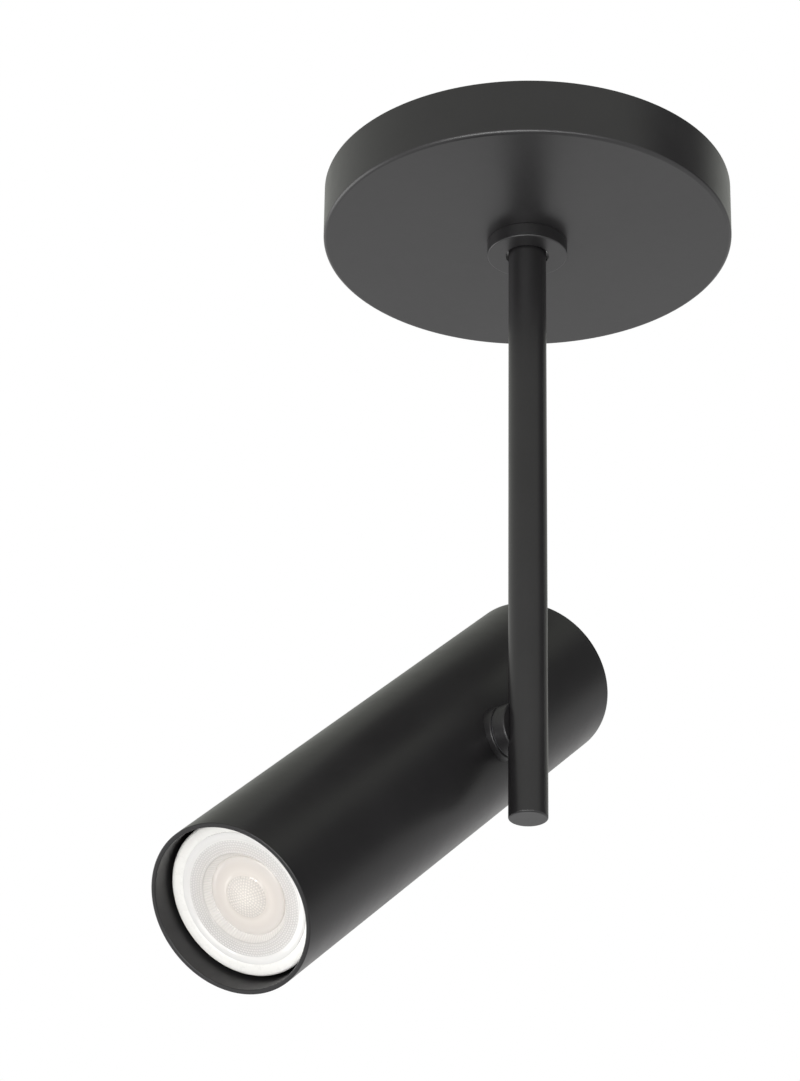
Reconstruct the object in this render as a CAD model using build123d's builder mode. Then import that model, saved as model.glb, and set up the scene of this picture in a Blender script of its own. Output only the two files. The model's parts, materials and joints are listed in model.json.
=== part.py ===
from build123d import *
from math import asin, cos, degrees, radians, sin
import os

# A surface mounted ceiling spotlight, in millimetres.
# Origin: centre of the mounting plane, where the canopy's rim meets the ceiling. +Z is up.
# The stem hangs down the Z axis. The head hangs beside it, on the -X side, and points
# towards -Y, tilted down. Threads are plain cylinders at their nominal size.

# ---- driving dimensions: what shows ----
canopy_d = 138.0
canopy_h = 20.0
canopy_wall = 1.2
canopy_edge_r = 2.0  # outside, round the lower edge
canopy_corner_r = 0.8  # inside, round the floor

collar_d = 27.0
collar_h = 5.0
collar_edge = 0.4
collar_gap = 0.85  # radial, collar to stem

stem_d = 12.7
stem_wall = 1.0
stem_drop = 231.0  # ceiling to the stem's closed end
stem_edge_r = 0.6
stem_plug_t = 1.5
stem_plug_spigot = 6.0

pivot_drop = 199.0  # ceiling to the tilt axis
pivot_d = 17.6  # the boss and the saddle between stem and tube
pivot_edge = 0.3
boss_wrap = 3.15  # how far back the boss reaches round the stem's side

tube_d = 55.0
tube_wall = 1.5
tube_front = 128.0  # tilt axis to the front rim, along the tube
tube_back = 72.0  # tilt axis to the rear end
tube_edge = 0.25
head_tilt = 41.0  # degrees below the horizontal, as it is shown

lamp_d = 50.0
lamp_recess = 7.6  # front rim to the lamp's face
lamp_length = 46.5  # face to base, without the pins

# ---- driving dimensions: ceiling bracket and swivel ----
box_screw_near = 69.85  # screw spacings of the two usual ceiling boxes
box_screw_far = 88.9
box_screw_hole = 4.8
bracket_length = 108.0
bracket_width = 22.0
bracket_t = 2.0
bracket_depth = 9.0  # ceiling to the top of its lowered middle
bracket_bend = 1.0
wire_hole_d = 11.0

housing_d = 18.0
housing_flange_d = 30.0
housing_flange_t = 2.0
housing_tip = 3.0  # how far the housing reaches into the collar
housing_screw_circle = 24.0
bush_flange_d = 15.0
bush_flange_t = 3.4
bush_spigot = 6.0
bush_bore = 6.0
swivel_washer_t = 1.0
swivel_spring_h = 1.0
swivel_spring_t = 0.4
swivel_stop_d = 1.5
swivel_groove_depth = 1.5
swivel_limit = 165.0  # degrees to each side of rest

# ---- driving dimensions: tilt pivot ----
boss_t = 1.55  # least thickness, between the stem and the washer
friction_washer_t = 0.5
saddle_t = 2.1  # least thickness, between the washer and the tube
inner_saddle_d = 14.0
inner_saddle_t = 2.5
shank_d = 8.0
shank_bore = 5.0
pivot_spring_h = 1.0
pivot_spring_t = 0.5
pivot_spring_d = 12.6
friction_washer_inset = 0.6
pivot_nut_af = 13.0  # across flats
pivot_nut_t = 4.5
shank_spare = 1.0  # shank beyond the nut
tilt_stop_d = 1.5
tilt_stop_circle = 12.4
tilt_stop_reach = 0.8  # into the saddle's groove
tilt_stop_root = 2.0  # into the boss
tilt_up = 41.0  # degrees from rest to horizontal
tilt_down = 49.0  # degrees from rest to straight down

# ---- driving dimensions: lamp, lampholder and cable ----
lamp_rim_t = 2.4
lamp_edge_r = 0.8
lamp_lip = 0.4  # flat ring between the rounded edge and the bezel
lamp_bezel = 3.7  # radial, the lamp's edge to the lens
lamp_bezel_depth = 0.5  # the lamp's face to the lens
lamp_bowl_depth = 16.5
lamp_bowl_floor_d = 26.0
lamp_bulge = 1.8
lamp_step = 1.0  # from the rim in to the tapering shell
lamp_neck_d = 27.0
lamp_neck = 14.0
lens_seat = 1.5
lens_plate_t = 1.6
lens_well_d = 29.0  # the round hollow in the lens's front
lens_well_floor_d = 25.8
lens_well_depth = 2.7
lens_cushion_d = 25.4  # the round shouldered rise in the hollow
lens_cushion_top_d = 21.2
lens_cushion_h = 0.75
lens_dome_d = 13.6  # on the cushion
lens_dome_h = 1.0
lens_cone_d = 34.0  # behind the plate
lens_cone_bulge = 0.9
lens_foot_d = 19.0
lens_foot_gap = 0.3
lens_eye_d = 12.4  # the hollow over the light source
lens_eye_depth = 3.0
board_t = 1.6
led_d = 11.0
led_t = 0.8
pin_circle = 10.0
pin_d = 3.0
pin_neck = 3.7
pin_head_d = 5.0
pin_head = 3.3
pin_edge = 0.5
lamp_twist = 30.0

holder_length = 27.0
holder_width = 20.0
holder_height = 18.6
holder_face_t = 3.0
holder_pocket = 5.0
holder_corner_r = 3.0
holder_screw_spacing = 17.0
contact_t = 0.5
carrier_t = 1.5
carrier_rim = 8.0
carrier_rim_wall = 1.2
rear_cap_t = 2.0
rear_cap_rim = 6.0
rear_cap_inset = 0.6
rear_cap_wall = 1.5
rear_cap_edge = 0.3

cable_d = 3.6
cable_pivot_r = 11.0  # bend from the stem into the pivot
cable_head_r = 15.0  # bend from the pivot towards the lamp
cable_drift_r = 300.0
cable_drift_top = 90.0  # above the tilt axis, where the cable leaves the stem's axis
cable_drift_low = 40.0
cable_drift = 3.3  # how far the cable lies off the stem's axis before that bend
cable_canopy_r = 5.5
cable_joint_gap = 1.0  # cable past the shank's end, where the head's part of it begins
cable_joint_depth = 1.0  # below the bush's top, where the canopy's part of it ends

block_length = 24.0
block_width = 15.0
block_height = 12.0
block_gap = 1.0
block_poles = 3
block_pitch = 7.6
tab_depth = 4.0  # from the bracket's middle down to the tab's plate
tab_gap = 1.0  # housing flange to the tab's leg
tab_spare = 2.0  # plate beyond the block
tab_width = 22.0
cable_entry = 3.0  # depth of the holes that cable and lead end in
supply_hole_d = 3.2
supply_hole_depth = 6.0
terminal_well_d = 3.9
terminal_well = 3.0
terminal_screw_d = 3.5
terminal_screw_h = 2.0
lead_d = 2.0
lead_bend_r = 5.0

m3_d = 3.0
m3_head_d = 5.4
m3_head = 1.8
m3_slot = 0.8
m3_slot_depth = 0.9
m3_bite = 7.0  # into the lampholder
m4_d = 4.0
m4_head_d = 8.0
m4_head = 2.6
lug_d = 8.4
lug_t = 0.8
lug_barrel_d = 3.4
lug_barrel = 5.0
grommet_flange = 1.4
grommet_wall = 1.2

# ---- clearances ----
running_gap = 0.05  # radial, stem in housing and head on its shank
press_gap = 0.02  # radial, pieces that don't move
slide_gap = 0.2  # radial, loose holes
stop_gap = 0.1
rest_gap = 0.3  # lamp base to lampholder

# ---- levels and places that follow ----
m3_r = m3_d / 2
cable_r = cable_d / 2
lead_r = lead_d / 2
shank_r = shank_d / 2
canopy_r = canopy_d / 2
canopy_bottom = -canopy_h
stem_r = stem_d / 2
stem_bore_r = stem_r - stem_wall
stem_bottom = -stem_drop

bracket_mid_top = -bracket_depth
bracket_mid = bracket_mid_top - bracket_t
bracket_step_x = housing_flange_d / 2 + 2.0
slot_length = (box_screw_far - box_screw_near) / 2 + box_screw_hole
slot_x = (box_screw_far + box_screw_near) / 4

housing_bottom = canopy_bottom - housing_tip
flange_top = bracket_mid - swivel_spring_h
flange_bottom = flange_top - bush_flange_t
shoulder_z = flange_bottom - swivel_washer_t
counterbore_r = bush_flange_d / 2 + slide_gap
groove_z = (flange_top + flange_bottom) / 2
groove_h = swivel_stop_d + 2 * stop_gap
groove_r = bush_flange_d / 2 - swivel_groove_depth
stop_tip_r = groove_r + slide_gap
stop_half_angle = asin(swivel_stop_d / 2 / stop_tip_r)
land_half = stop_tip_r * sin(radians(180 - swivel_limit) - stop_half_angle) - stop_gap

pivot_z = -pivot_drop
boss_face_x = -(stem_r + boss_t)
saddle_face_x = boss_face_x - friction_washer_t
tube_x = saddle_face_x - saddle_t
tube_r = tube_d / 2
tube_bore_r = tube_r - tube_wall
head_offset = tube_r - tube_x
inner_face_x = tube_x - tube_wall - inner_saddle_t
nut_face_x = inner_face_x - pivot_spring_h
shank_end_x = nut_face_x - pivot_nut_t - shank_spare
cable_joint_x = shank_end_x - cable_joint_gap

lamp_r = lamp_d / 2
lamp_face = tube_front - lamp_recess
lamp_base = lamp_face - lamp_length
lens_r = lamp_r - lamp_bezel
lens_front = lamp_face - lamp_bezel_depth
lens_seat_level = lens_front - lens_plate_t
lens_well_floor = lens_front - lens_well_depth
lens_cushion = lens_well_floor + lens_cushion_h
bowl_floor = lamp_face - lamp_bowl_depth
lens_foot = bowl_floor + board_t + lens_foot_gap
holder_face = lamp_base - rest_gap
holder_back = holder_face - holder_height
pocket_top = holder_face - holder_face_t
pocket_floor = pocket_top - holder_pocket
cable_joint_z = flange_top - cable_joint_depth
cable_level = bracket_mid_top + cable_r + slide_gap

tab_leg_y = housing_flange_d / 2 + tab_gap
tab_top = bracket_mid - tab_depth
block_front = tab_leg_y + bracket_t + block_gap
block_back = block_front + block_width
block_top = tab_top + block_height
ground_x = -(bracket_step_x + bracket_t + bracket_bend + lug_d / 2 + slide_gap)
lug_z = -bracket_t
barrel_z = lug_z - lug_barrel_d / 2
barrel_y = m4_head_d / 2 + 2 * slide_gap
lead_z = cable_level
lead_y = (block_front + block_back) / 2

head_axis = Vector(0, -cos(radians(head_tilt)), -sin(radians(head_tilt)))
pivot_axis = Axis((0, 0, pivot_z), (1, 0, 0))


def level(z):
    """A horizontal plane."""
    return Plane.XY.offset(z)


def across(x):
    """A plane square to the tilt axis, centred on it, with local x along +Y and y along +Z."""
    return Plane(origin=(x, 0, pivot_z), x_dir=(0, 1, 0), z_dir=(1, 0, 0))


def along_head(distance):
    """A plane square to the tube's axis, with local x along +X and the normal to the front."""
    centre = Vector(-head_offset, 0, pivot_z) + head_axis * distance
    return Plane(origin=centre, x_dir=(1, 0, 0), z_dir=head_axis)


# Half sections of round pieces on the head: local x is the radius, local y the way along the tube.
head_section = Plane(
    origin=(-head_offset, 0, pivot_z), x_dir=(1, 0, 0), z_dir=Vector(1, 0, 0).cross(head_axis)
)
head_line = Axis((-head_offset, 0, pivot_z), head_axis)

os.makedirs("parts", exist_ok=True)

# ======== fixed to the ceiling ========

# A shallow cup, open towards the ceiling, with a hole for the swivel housing.
with BuildPart() as canopy:
    with BuildSketch(level(canopy_bottom)):
        Circle(canopy_r)
    extrude(amount=canopy_h)
    fillet(canopy.edges().group_by(Axis.Z)[0], canopy_edge_r)
    with BuildSketch(level(canopy_bottom + canopy_wall)):
        Circle(canopy_r - canopy_wall)
    extrude(amount=canopy_h, mode=Mode.SUBTRACT)
    floor_edge = canopy.faces().filter_by(Axis.Z).sort_by(SortBy.AREA)[-2:].sort_by(Axis.Z)[-1]
    fillet(floor_edge.edges(), canopy_corner_r)
    with BuildSketch(level(canopy_bottom)):
        Circle(housing_d / 2 + slide_gap)
    extrude(amount=canopy_wall, mode=Mode.SUBTRACT)
canopy.part.label = "canopy"
export_step(canopy.part, "parts/canopy.step")

# A hat shaped strap. Its ends lie on the ceiling box, and a stepped tab carries the terminals.
with BuildPart() as mounting_bracket:
    with BuildSketch(Plane.XZ):
        with BuildLine():
            Polyline(
                (0, bracket_mid_top),
                (bracket_step_x, bracket_mid_top),
                (bracket_step_x, 0),
                (bracket_length / 2, 0),
                (bracket_length / 2, -bracket_t),
                (bracket_step_x + bracket_t, -bracket_t),
                (bracket_step_x + bracket_t, bracket_mid),
                (0, bracket_mid),
            )
            mirror(about=Plane.YZ)
        make_face()
    extrude(amount=bracket_width / 2, both=True)
    bends = mounting_bracket.edges().filter_by(Axis.Y).filter_by(
        lambda edge: bracket_step_x - bracket_t < abs(edge.center().X) < bracket_step_x + 2 * bracket_t
    )
    fillet(bends, bracket_bend)
    with BuildSketch(Plane.YZ):
        with BuildLine():
            Polyline(
                (bracket_width / 2 - bracket_t, bracket_mid_top),
                (tab_leg_y + bracket_t, bracket_mid_top),
                (tab_leg_y + bracket_t, tab_top),
                (block_back + tab_spare, tab_top),
                (block_back + tab_spare, tab_top - bracket_t),
                (tab_leg_y, tab_top - bracket_t),
                (tab_leg_y, bracket_mid),
                (bracket_width / 2 - bracket_t, bracket_mid),
                close=True,
            )
        make_face()
    extrude(amount=tab_width / 2, both=True)
    with BuildSketch(level(bracket_mid)):
        Circle(wire_hole_d / 2)
        with GridLocations(housing_screw_circle, 1, 2, 1):
            Circle(m3_r + press_gap)
    extrude(amount=bracket_t, mode=Mode.SUBTRACT)
    with BuildSketch(level(-bracket_t)):
        with GridLocations(2 * slot_x, 1, 2, 1):
            SlotOverall(slot_length, box_screw_hole)
        with Locations((ground_x, 0)):
            Circle(m4_d / 2 + press_gap)
    extrude(amount=bracket_t, mode=Mode.SUBTRACT)
mounting_bracket.part.label = "mounting_bracket"
export_step(mounting_bracket.part, "parts/mounting_bracket.step")

# A turned socket. The stem hangs on its inner shoulder, and the collar's thread is outside.
with BuildPart() as swivel_housing:
    with BuildSketch(level(housing_bottom)):
        Circle(housing_d / 2)
    extrude(amount=bracket_mid - housing_bottom)
    with BuildSketch(level(bracket_mid - housing_flange_t)):
        Circle(housing_flange_d / 2)
    extrude(amount=housing_flange_t)
    with BuildSketch(level(housing_bottom)):
        Circle(stem_r + running_gap)
    extrude(amount=bracket_mid - housing_bottom, mode=Mode.SUBTRACT)
    with BuildSketch(level(shoulder_z)):
        Circle(counterbore_r)
    extrude(amount=bracket_mid - shoulder_z, mode=Mode.SUBTRACT)
    with BuildSketch(level(bracket_mid - housing_flange_t)):
        with GridLocations(housing_screw_circle, 1, 2, 1):
            Circle(m3_r + press_gap)
    extrude(amount=housing_flange_t, mode=Mode.SUBTRACT)
    with BuildSketch(Plane.XZ):
        with Locations((0, groove_z)):
            Circle(swivel_stop_d / 2 + press_gap)
    extrude(amount=-housing_d / 2, mode=Mode.SUBTRACT)
swivel_housing.part.label = "swivel_housing"
export_step(swivel_housing.part, "parts/swivel_housing.step")


def pan_screws(plane, spacing, length):
    """Two slotted screws on local x. Heads stand on the plane, shanks go back from it by length."""
    with BuildPart() as screws:
        with BuildSketch(plane):
            with GridLocations(spacing, 1, 2, 1):
                Circle(m3_head_d / 2)
        extrude(amount=m3_head)
        with BuildSketch(plane.offset(m3_head)):
            with GridLocations(spacing, 1, 2, 1):
                Rectangle(m3_head_d, m3_slot)
        extrude(amount=-m3_slot_depth, mode=Mode.SUBTRACT)
        with BuildSketch(plane):
            with GridLocations(spacing, 1, 2, 1):
                Circle(m3_r)
        extrude(amount=-length)
    return screws


# They hold the housing's flange to the bracket, from below.
under_flange = Plane(
    origin=(0, 0, bracket_mid - housing_flange_t), x_dir=(1, 0, 0), z_dir=(0, 0, -1)
)
housing_screws = pan_screws(under_flange, housing_screw_circle, housing_flange_t + bracket_t)
housing_screws.part.label = "housing_screws"
export_step(housing_screws.part, "parts/housing_screws.step")

# A radial pin through the housing's wall, with its tip in the bush's groove.
with BuildPart() as swivel_stop_pin:
    with BuildSketch(Plane.XZ.offset(-stop_tip_r)):
        with Locations((0, groove_z)):
            Circle(swivel_stop_d / 2)
    extrude(amount=stop_tip_r - housing_d / 2)
swivel_stop_pin.part.label = "swivel_stop_pin"
export_step(swivel_stop_pin.part, "parts/swivel_stop_pin.step")

# The plain bearing washer on the housing's shoulder.
with BuildPart() as swivel_washer:
    with BuildSketch(level(shoulder_z)):
        Circle(counterbore_r - stop_gap)
        Circle(stem_r + running_gap, mode=Mode.SUBTRACT)
    extrude(amount=swivel_washer_t)
swivel_washer.part.label = "swivel_washer"
export_step(swivel_washer.part, "parts/swivel_washer.step")

# A conical spring washer between the bracket and the bush.
with BuildPart() as swivel_spring:
    with BuildSketch(Plane.XZ):
        with BuildLine():
            Polyline(
                (wire_hole_d / 2 + slide_gap, bracket_mid),
                (bush_flange_d / 2, flange_top + swivel_spring_t),
                (bush_flange_d / 2, flange_top),
                (wire_hole_d / 2 + slide_gap, bracket_mid - swivel_spring_t),
                close=True,
            )
        make_face()
    revolve(axis=Axis.Z)
swivel_spring.part.label = "swivel_spring"
export_step(swivel_spring.part, "parts/swivel_spring.step")

# The ring under the canopy. It screws onto the housing, and its lip closes in round the stem.
with BuildPart() as canopy_collar:
    with BuildSketch(level(canopy_bottom)):
        Circle(collar_d / 2)
    extrude(amount=-collar_h)
    with BuildSketch(level(canopy_bottom)):
        Circle(stem_r + collar_gap)
    extrude(amount=-collar_h, mode=Mode.SUBTRACT)
    chamfer(canopy_collar.edges().group_by(Axis.Z)[0], collar_edge)
    with BuildSketch(level(canopy_bottom)):
        Circle(housing_d / 2 + press_gap)
    extrude(amount=-housing_tip, mode=Mode.SUBTRACT)
canopy_collar.part.label = "canopy_collar"
export_step(canopy_collar.part, "parts/canopy_collar.step")

# A three way block on the tab. The ceiling's wires enter at its far side.
with BuildPart() as terminal_block:
    with BuildSketch(level(tab_top)):
        with Locations((0, lead_y)):
            Rectangle(block_length, block_width)
    extrude(amount=block_height)
    with BuildSketch(Plane.XZ.offset(-block_front)):
        with Locations((0, cable_level)):
            Circle(cable_r + press_gap)
    extrude(amount=-cable_entry, mode=Mode.SUBTRACT)
    with BuildSketch(Plane.YZ.offset(-block_length / 2)):
        with Locations((lead_y, lead_z)):
            Circle(lead_r + press_gap)
    extrude(amount=cable_entry, mode=Mode.SUBTRACT)
    with BuildSketch(Plane.XZ.offset(-block_back)):
        with Locations((0, (tab_top + block_top) / 2)):
            with GridLocations(block_pitch, 1, block_poles, 1):
                Circle(supply_hole_d / 2)
    extrude(amount=supply_hole_depth, mode=Mode.SUBTRACT)
    with BuildSketch(level(block_top)):
        with Locations((0, lead_y)):
            with GridLocations(block_pitch, 1, block_poles, 1):
                Circle(terminal_well_d / 2)
    extrude(amount=-terminal_well, mode=Mode.SUBTRACT)
terminal_block.part.label = "terminal_block"
export_step(terminal_block.part, "parts/terminal_block.step")

with BuildPart() as terminal_screws:
    with BuildSketch(level(block_top - terminal_well)):
        with Locations((0, lead_y)):
            with GridLocations(block_pitch, 1, block_poles, 1):
                Circle(terminal_screw_d / 2)
    extrude(amount=terminal_screw_h)
    with BuildSketch(level(block_top - terminal_well + terminal_screw_h)):
        with Locations((0, lead_y)):
            with GridLocations(block_pitch, 1, block_poles, 1):
                Rectangle(terminal_screw_d, m3_slot)
    extrude(amount=-m3_slot_depth, mode=Mode.SUBTRACT)
terminal_screws.part.label = "terminal_screws"
export_step(terminal_screws.part, "parts/terminal_screws.step")

# The earth screw, from below through its lug into the bracket.
with BuildPart() as ground_screw:
    with BuildSketch(level(lug_z - lug_t)):
        with Locations((ground_x, 0)):
            Circle(m4_head_d / 2)
    extrude(amount=-m4_head)
    with BuildSketch(level(lug_z - lug_t - m4_head)):
        with Locations((ground_x, 0)):
            Rectangle(m4_head_d, m3_slot)
    extrude(amount=m3_slot_depth, mode=Mode.SUBTRACT)
    with BuildSketch(level(lug_z - lug_t)):
        with Locations((ground_x, 0)):
            Circle(m4_d / 2)
    extrude(amount=lug_t + bracket_t)
ground_screw.part.label = "ground_screw"
export_step(ground_screw.part, "parts/ground_screw.step")

# A ring with a tongue and a crimped barrel for the earth lead.
with BuildPart() as ground_lug:
    with BuildSketch(level(lug_z)):
        with Locations((ground_x, 0)):
            Circle(lug_d / 2)
        with Locations((ground_x, barrel_y / 2 + lug_barrel / 4)):
            Rectangle(lug_barrel_d, barrel_y + lug_barrel / 2)
        with Locations((ground_x, 0)):
            Circle(m4_d / 2 + press_gap, mode=Mode.SUBTRACT)
    extrude(amount=-lug_t)
    with BuildSketch(Plane.XZ.offset(-barrel_y)):
        with Locations((ground_x, barrel_z)):
            Circle(lug_barrel_d / 2)
    extrude(amount=-lug_barrel)
    with BuildSketch(Plane.XZ.offset(-barrel_y)):
        with Locations((ground_x, barrel_z)):
            Circle(lead_r + press_gap)
    extrude(amount=-lug_barrel, mode=Mode.SUBTRACT)
ground_lug.part.label = "ground_lug"
export_step(ground_lug.part, "parts/ground_lug.step")

# The earth lead, from inside the lug's barrel to the block's side.
with BuildPart() as ground_lead:
    with BuildLine() as lead_route:
        FilletPolyline(
            (ground_x, barrel_y, barrel_z),
            (ground_x, bracket_width / 2 + lead_d, barrel_z),
            (ground_x, lead_y, lead_z),
            (cable_entry - block_length / 2, lead_y, lead_z),
            radius=lead_bend_r,
        )
    with BuildSketch(Plane.XZ.offset(-barrel_y)):
        with Locations((ground_x, barrel_z)):
            Circle(lead_r)
    sweep(path=lead_route.line)
ground_lead.part.label = "ground_lead"
export_step(ground_lead.part, "parts/ground_lead.step")

# The lamp cable's first stretch, from inside the bush over the bracket into the block.
with BuildPart() as canopy_cable:
    with BuildLine() as canopy_route:
        FilletPolyline(
            (0, 0, cable_joint_z),
            (0, 0, cable_level),
            (0, block_front + cable_entry, cable_level),
            radius=cable_canopy_r,
        )
    with BuildSketch(level(cable_joint_z)):
        Circle(cable_r)
    sweep(path=canopy_route.line)
canopy_cable.part.label = "canopy_cable"
export_step(canopy_cable.part, "parts/canopy_cable.step")

# ======== turning with the stem ========

with BuildPart() as stem_tube:
    with BuildSketch(level(stem_bottom + stem_plug_t)):
        Circle(stem_r)
        Circle(stem_bore_r, mode=Mode.SUBTRACT)
    extrude(amount=flange_bottom - stem_bottom - stem_plug_t)
    with BuildSketch(across(0)):
        Circle(shank_r + press_gap)
    extrude(amount=-stem_d, mode=Mode.SUBTRACT)
stem_tube.part.label = "stem_tube"
export_step(stem_tube.part, "parts/stem_tube.step")

# A flanged bush in the stem's top. Its groove runs round to a land that meets the stop pin.
with BuildPart() as stem_top_bush:
    with BuildSketch(level(flange_bottom)):
        Circle(bush_flange_d / 2)
    extrude(amount=bush_flange_t)
    with BuildSketch(level(flange_bottom)):
        Circle(stem_bore_r - press_gap)
    extrude(amount=-bush_spigot)
    with BuildSketch(level(flange_bottom - bush_spigot)):
        Circle(bush_bore / 2)
    extrude(amount=bush_spigot + bush_flange_t, mode=Mode.SUBTRACT)
    with BuildSketch(level(groove_z - groove_h / 2)):
        Circle(bush_flange_d)
        Circle(groove_r, mode=Mode.SUBTRACT)
        with Locations((0, -bush_flange_d / 2)):
            Rectangle(2 * land_half, bush_flange_d, mode=Mode.SUBTRACT)
    extrude(amount=groove_h, mode=Mode.SUBTRACT)
stem_top_bush.part.label = "stem_top_bush"
export_step(stem_top_bush.part, "parts/stem_top_bush.step")

with BuildPart() as stem_end_plug:
    with BuildSketch(level(stem_bottom)):
        Circle(stem_r)
    extrude(amount=stem_plug_t)
    fillet(stem_end_plug.edges().group_by(Axis.Z)[0], stem_edge_r)
    with BuildSketch(level(stem_bottom + stem_plug_t)):
        Circle(stem_bore_r - press_gap)
    extrude(amount=stem_plug_spigot)
stem_end_plug.part.label = "stem_end_plug"
export_step(stem_end_plug.part, "parts/stem_end_plug.step")

# A round boss that wraps the stem's side, with a hollow threaded shank for nut and cable.
with BuildPart() as pivot_boss:
    with BuildSketch(across(-boss_wrap)):
        Circle(pivot_d / 2)
    extrude(amount=boss_wrap + boss_face_x)
    chamfer(pivot_boss.edges().filter_by(GeomType.CIRCLE), pivot_edge)
    with BuildSketch(level(pivot_z - pivot_d)):
        Circle(stem_r + press_gap)
    extrude(amount=2 * pivot_d, mode=Mode.SUBTRACT)
    with BuildSketch(across(-stem_bore_r)):
        Circle(shank_r)
    extrude(amount=stem_bore_r + shank_end_x)
    with BuildSketch(across(-stem_bore_r)):
        Circle(shank_bore / 2)
    extrude(amount=stem_bore_r + shank_end_x, mode=Mode.SUBTRACT)
    with BuildSketch(across(boss_face_x)):
        with Locations((tilt_stop_circle / 2, 0)):
            Circle(tilt_stop_d / 2 + press_gap)
    extrude(amount=tilt_stop_root, mode=Mode.SUBTRACT)
pivot_boss.part.label = "pivot_boss"
export_step(pivot_boss.part, "parts/pivot_boss.step")

# A pin in the boss that runs in the saddle's groove.
with BuildPart() as tilt_stop_pin:
    with BuildSketch(across(boss_face_x + tilt_stop_root)):
        with Locations((tilt_stop_circle / 2, 0)):
            Circle(tilt_stop_d / 2)
    extrude(amount=-(tilt_stop_root + friction_washer_t + tilt_stop_reach))
tilt_stop_pin.part.label = "tilt_stop_pin"
export_step(tilt_stop_pin.part, "parts/tilt_stop_pin.step")

with BuildPart() as friction_washer:
    with BuildSketch(across(boss_face_x)):
        Circle(pivot_d / 2 - friction_washer_inset)
        Circle(shank_r + running_gap, mode=Mode.SUBTRACT)
        with Locations((tilt_stop_circle / 2, 0)):
            Circle(tilt_stop_d / 2 + running_gap, mode=Mode.SUBTRACT)
    extrude(amount=-friction_washer_t)
friction_washer.part.label = "friction_washer"
export_step(friction_washer.part, "parts/friction_washer.step")

# A conical spring washer. Its wide edge bears on the inner saddle, its narrow one on the nut.
with BuildPart() as pivot_spring:
    with BuildSketch(Plane.XZ):
        with BuildLine():
            Polyline(
                (inner_face_x, pivot_z + pivot_spring_d / 2),
                (inner_face_x - pivot_spring_t, pivot_z + pivot_spring_d / 2),
                (nut_face_x, pivot_z + shank_r + running_gap),
                (nut_face_x + pivot_spring_t, pivot_z + shank_r + running_gap),
                close=True,
            )
        make_face()
    revolve(axis=pivot_axis)
pivot_spring.part.label = "pivot_spring"
export_step(pivot_spring.part, "parts/pivot_spring.step")

with BuildPart() as pivot_nut:
    with BuildSketch(across(nut_face_x)):
        RegularPolygon(pivot_nut_af / 2, 6, major_radius=False)
        Circle(shank_r + press_gap, mode=Mode.SUBTRACT)
    extrude(amount=-pivot_nut_t)
pivot_nut.part.label = "pivot_nut"
export_step(pivot_nut.part, "parts/pivot_nut.step")

# The cable's second stretch: down the stem, over to its far side and round into the shank.
with BuildPart() as stem_cable:
    with BuildLine() as stem_route:
        FilletPolyline(
            (0, 0, cable_joint_z),
            (0, 0, pivot_z + cable_drift_top),
            (cable_drift, 0, pivot_z + cable_drift_low),
            (cable_drift, 0, pivot_z),
            (cable_joint_x, 0, pivot_z),
            radius=[cable_drift_r, cable_drift_r, cable_pivot_r],
        )
    with BuildSketch(level(cable_joint_z)):
        Circle(cable_r)
    sweep(path=stem_route.line)
stem_cable.part.label = "stem_cable"
export_step(stem_cable.part, "parts/stem_cable.step")

# ======== tilting with the head ========

with BuildPart() as head_tube:
    with BuildSketch(along_head(-tube_back)):
        Circle(tube_r)
        Circle(tube_bore_r, mode=Mode.SUBTRACT)
    extrude(amount=tube_back + tube_front)
    chamfer(head_tube.edges().filter_by(GeomType.CIRCLE), tube_edge)
    with BuildSketch(across(tube_x)):
        Circle(shank_r + running_gap)
    extrude(amount=-inner_saddle_d / 2, mode=Mode.SUBTRACT)
head_tube.part.label = "head_tube"
export_step(head_tube.part, "parts/head_tube.step")

# The tube's half of the pivot, hollowed to its curve, with the stop pin's groove in its face.
with BuildPart() as tube_saddle:
    with BuildSketch(across(saddle_face_x)):
        Circle(pivot_d / 2)
    extrude(amount=-(saddle_t + pivot_d / 2))
    chamfer(tube_saddle.edges().group_by(Axis.X)[-1], pivot_edge)
    with BuildSketch(along_head(-pivot_d)):
        Circle(tube_r + press_gap)
    extrude(amount=2 * pivot_d, mode=Mode.SUBTRACT)
    with BuildSketch(across(saddle_face_x)):
        Circle(shank_r + running_gap)
    extrude(amount=-pivot_d, mode=Mode.SUBTRACT)
    stop_path = Edge.make_circle(tilt_stop_circle / 2, start_angle=-tilt_down, end_angle=tilt_up)
    with BuildSketch(across(saddle_face_x)):
        SlotArc(stop_path, tilt_stop_d + 2 * stop_gap)
    extrude(amount=-(tilt_stop_reach + stop_gap), mode=Mode.SUBTRACT)
tube_saddle.part.label = "tube_saddle"
export_step(tube_saddle.part, "parts/tube_saddle.step")

# Its counterpart inside the tube, curved to the wall and flat for the spring.
with BuildPart() as inner_saddle:
    with BuildSketch(across(inner_face_x)):
        Circle(inner_saddle_d / 2)
        Circle(shank_r + running_gap, mode=Mode.SUBTRACT)
    extrude(amount=inner_saddle_t + tube_wall)
    with BuildSketch(along_head(-inner_saddle_d)):
        Circle(tube_bore_r - press_gap)
    extrude(amount=2 * inner_saddle_d, mode=Mode.INTERSECT)
inner_saddle.part.label = "inner_saddle"
export_step(inner_saddle.part, "parts/inner_saddle.step")

with BuildPart() as rear_cap:
    with BuildSketch(along_head(rear_cap_inset - tube_back)):
        Circle(tube_bore_r - press_gap)
    extrude(amount=rear_cap_t + rear_cap_rim)
    chamfer(rear_cap.faces().sort_by(Axis.Y)[-1].edges(), rear_cap_edge)
    with BuildSketch(along_head(rear_cap_inset + rear_cap_t - tube_back)):
        Circle(tube_bore_r - rear_cap_wall)
    extrude(amount=rear_cap_rim, mode=Mode.SUBTRACT)
rear_cap.part.label = "rear_cap"
export_step(rear_cap.part, "parts/rear_cap.step")

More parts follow.
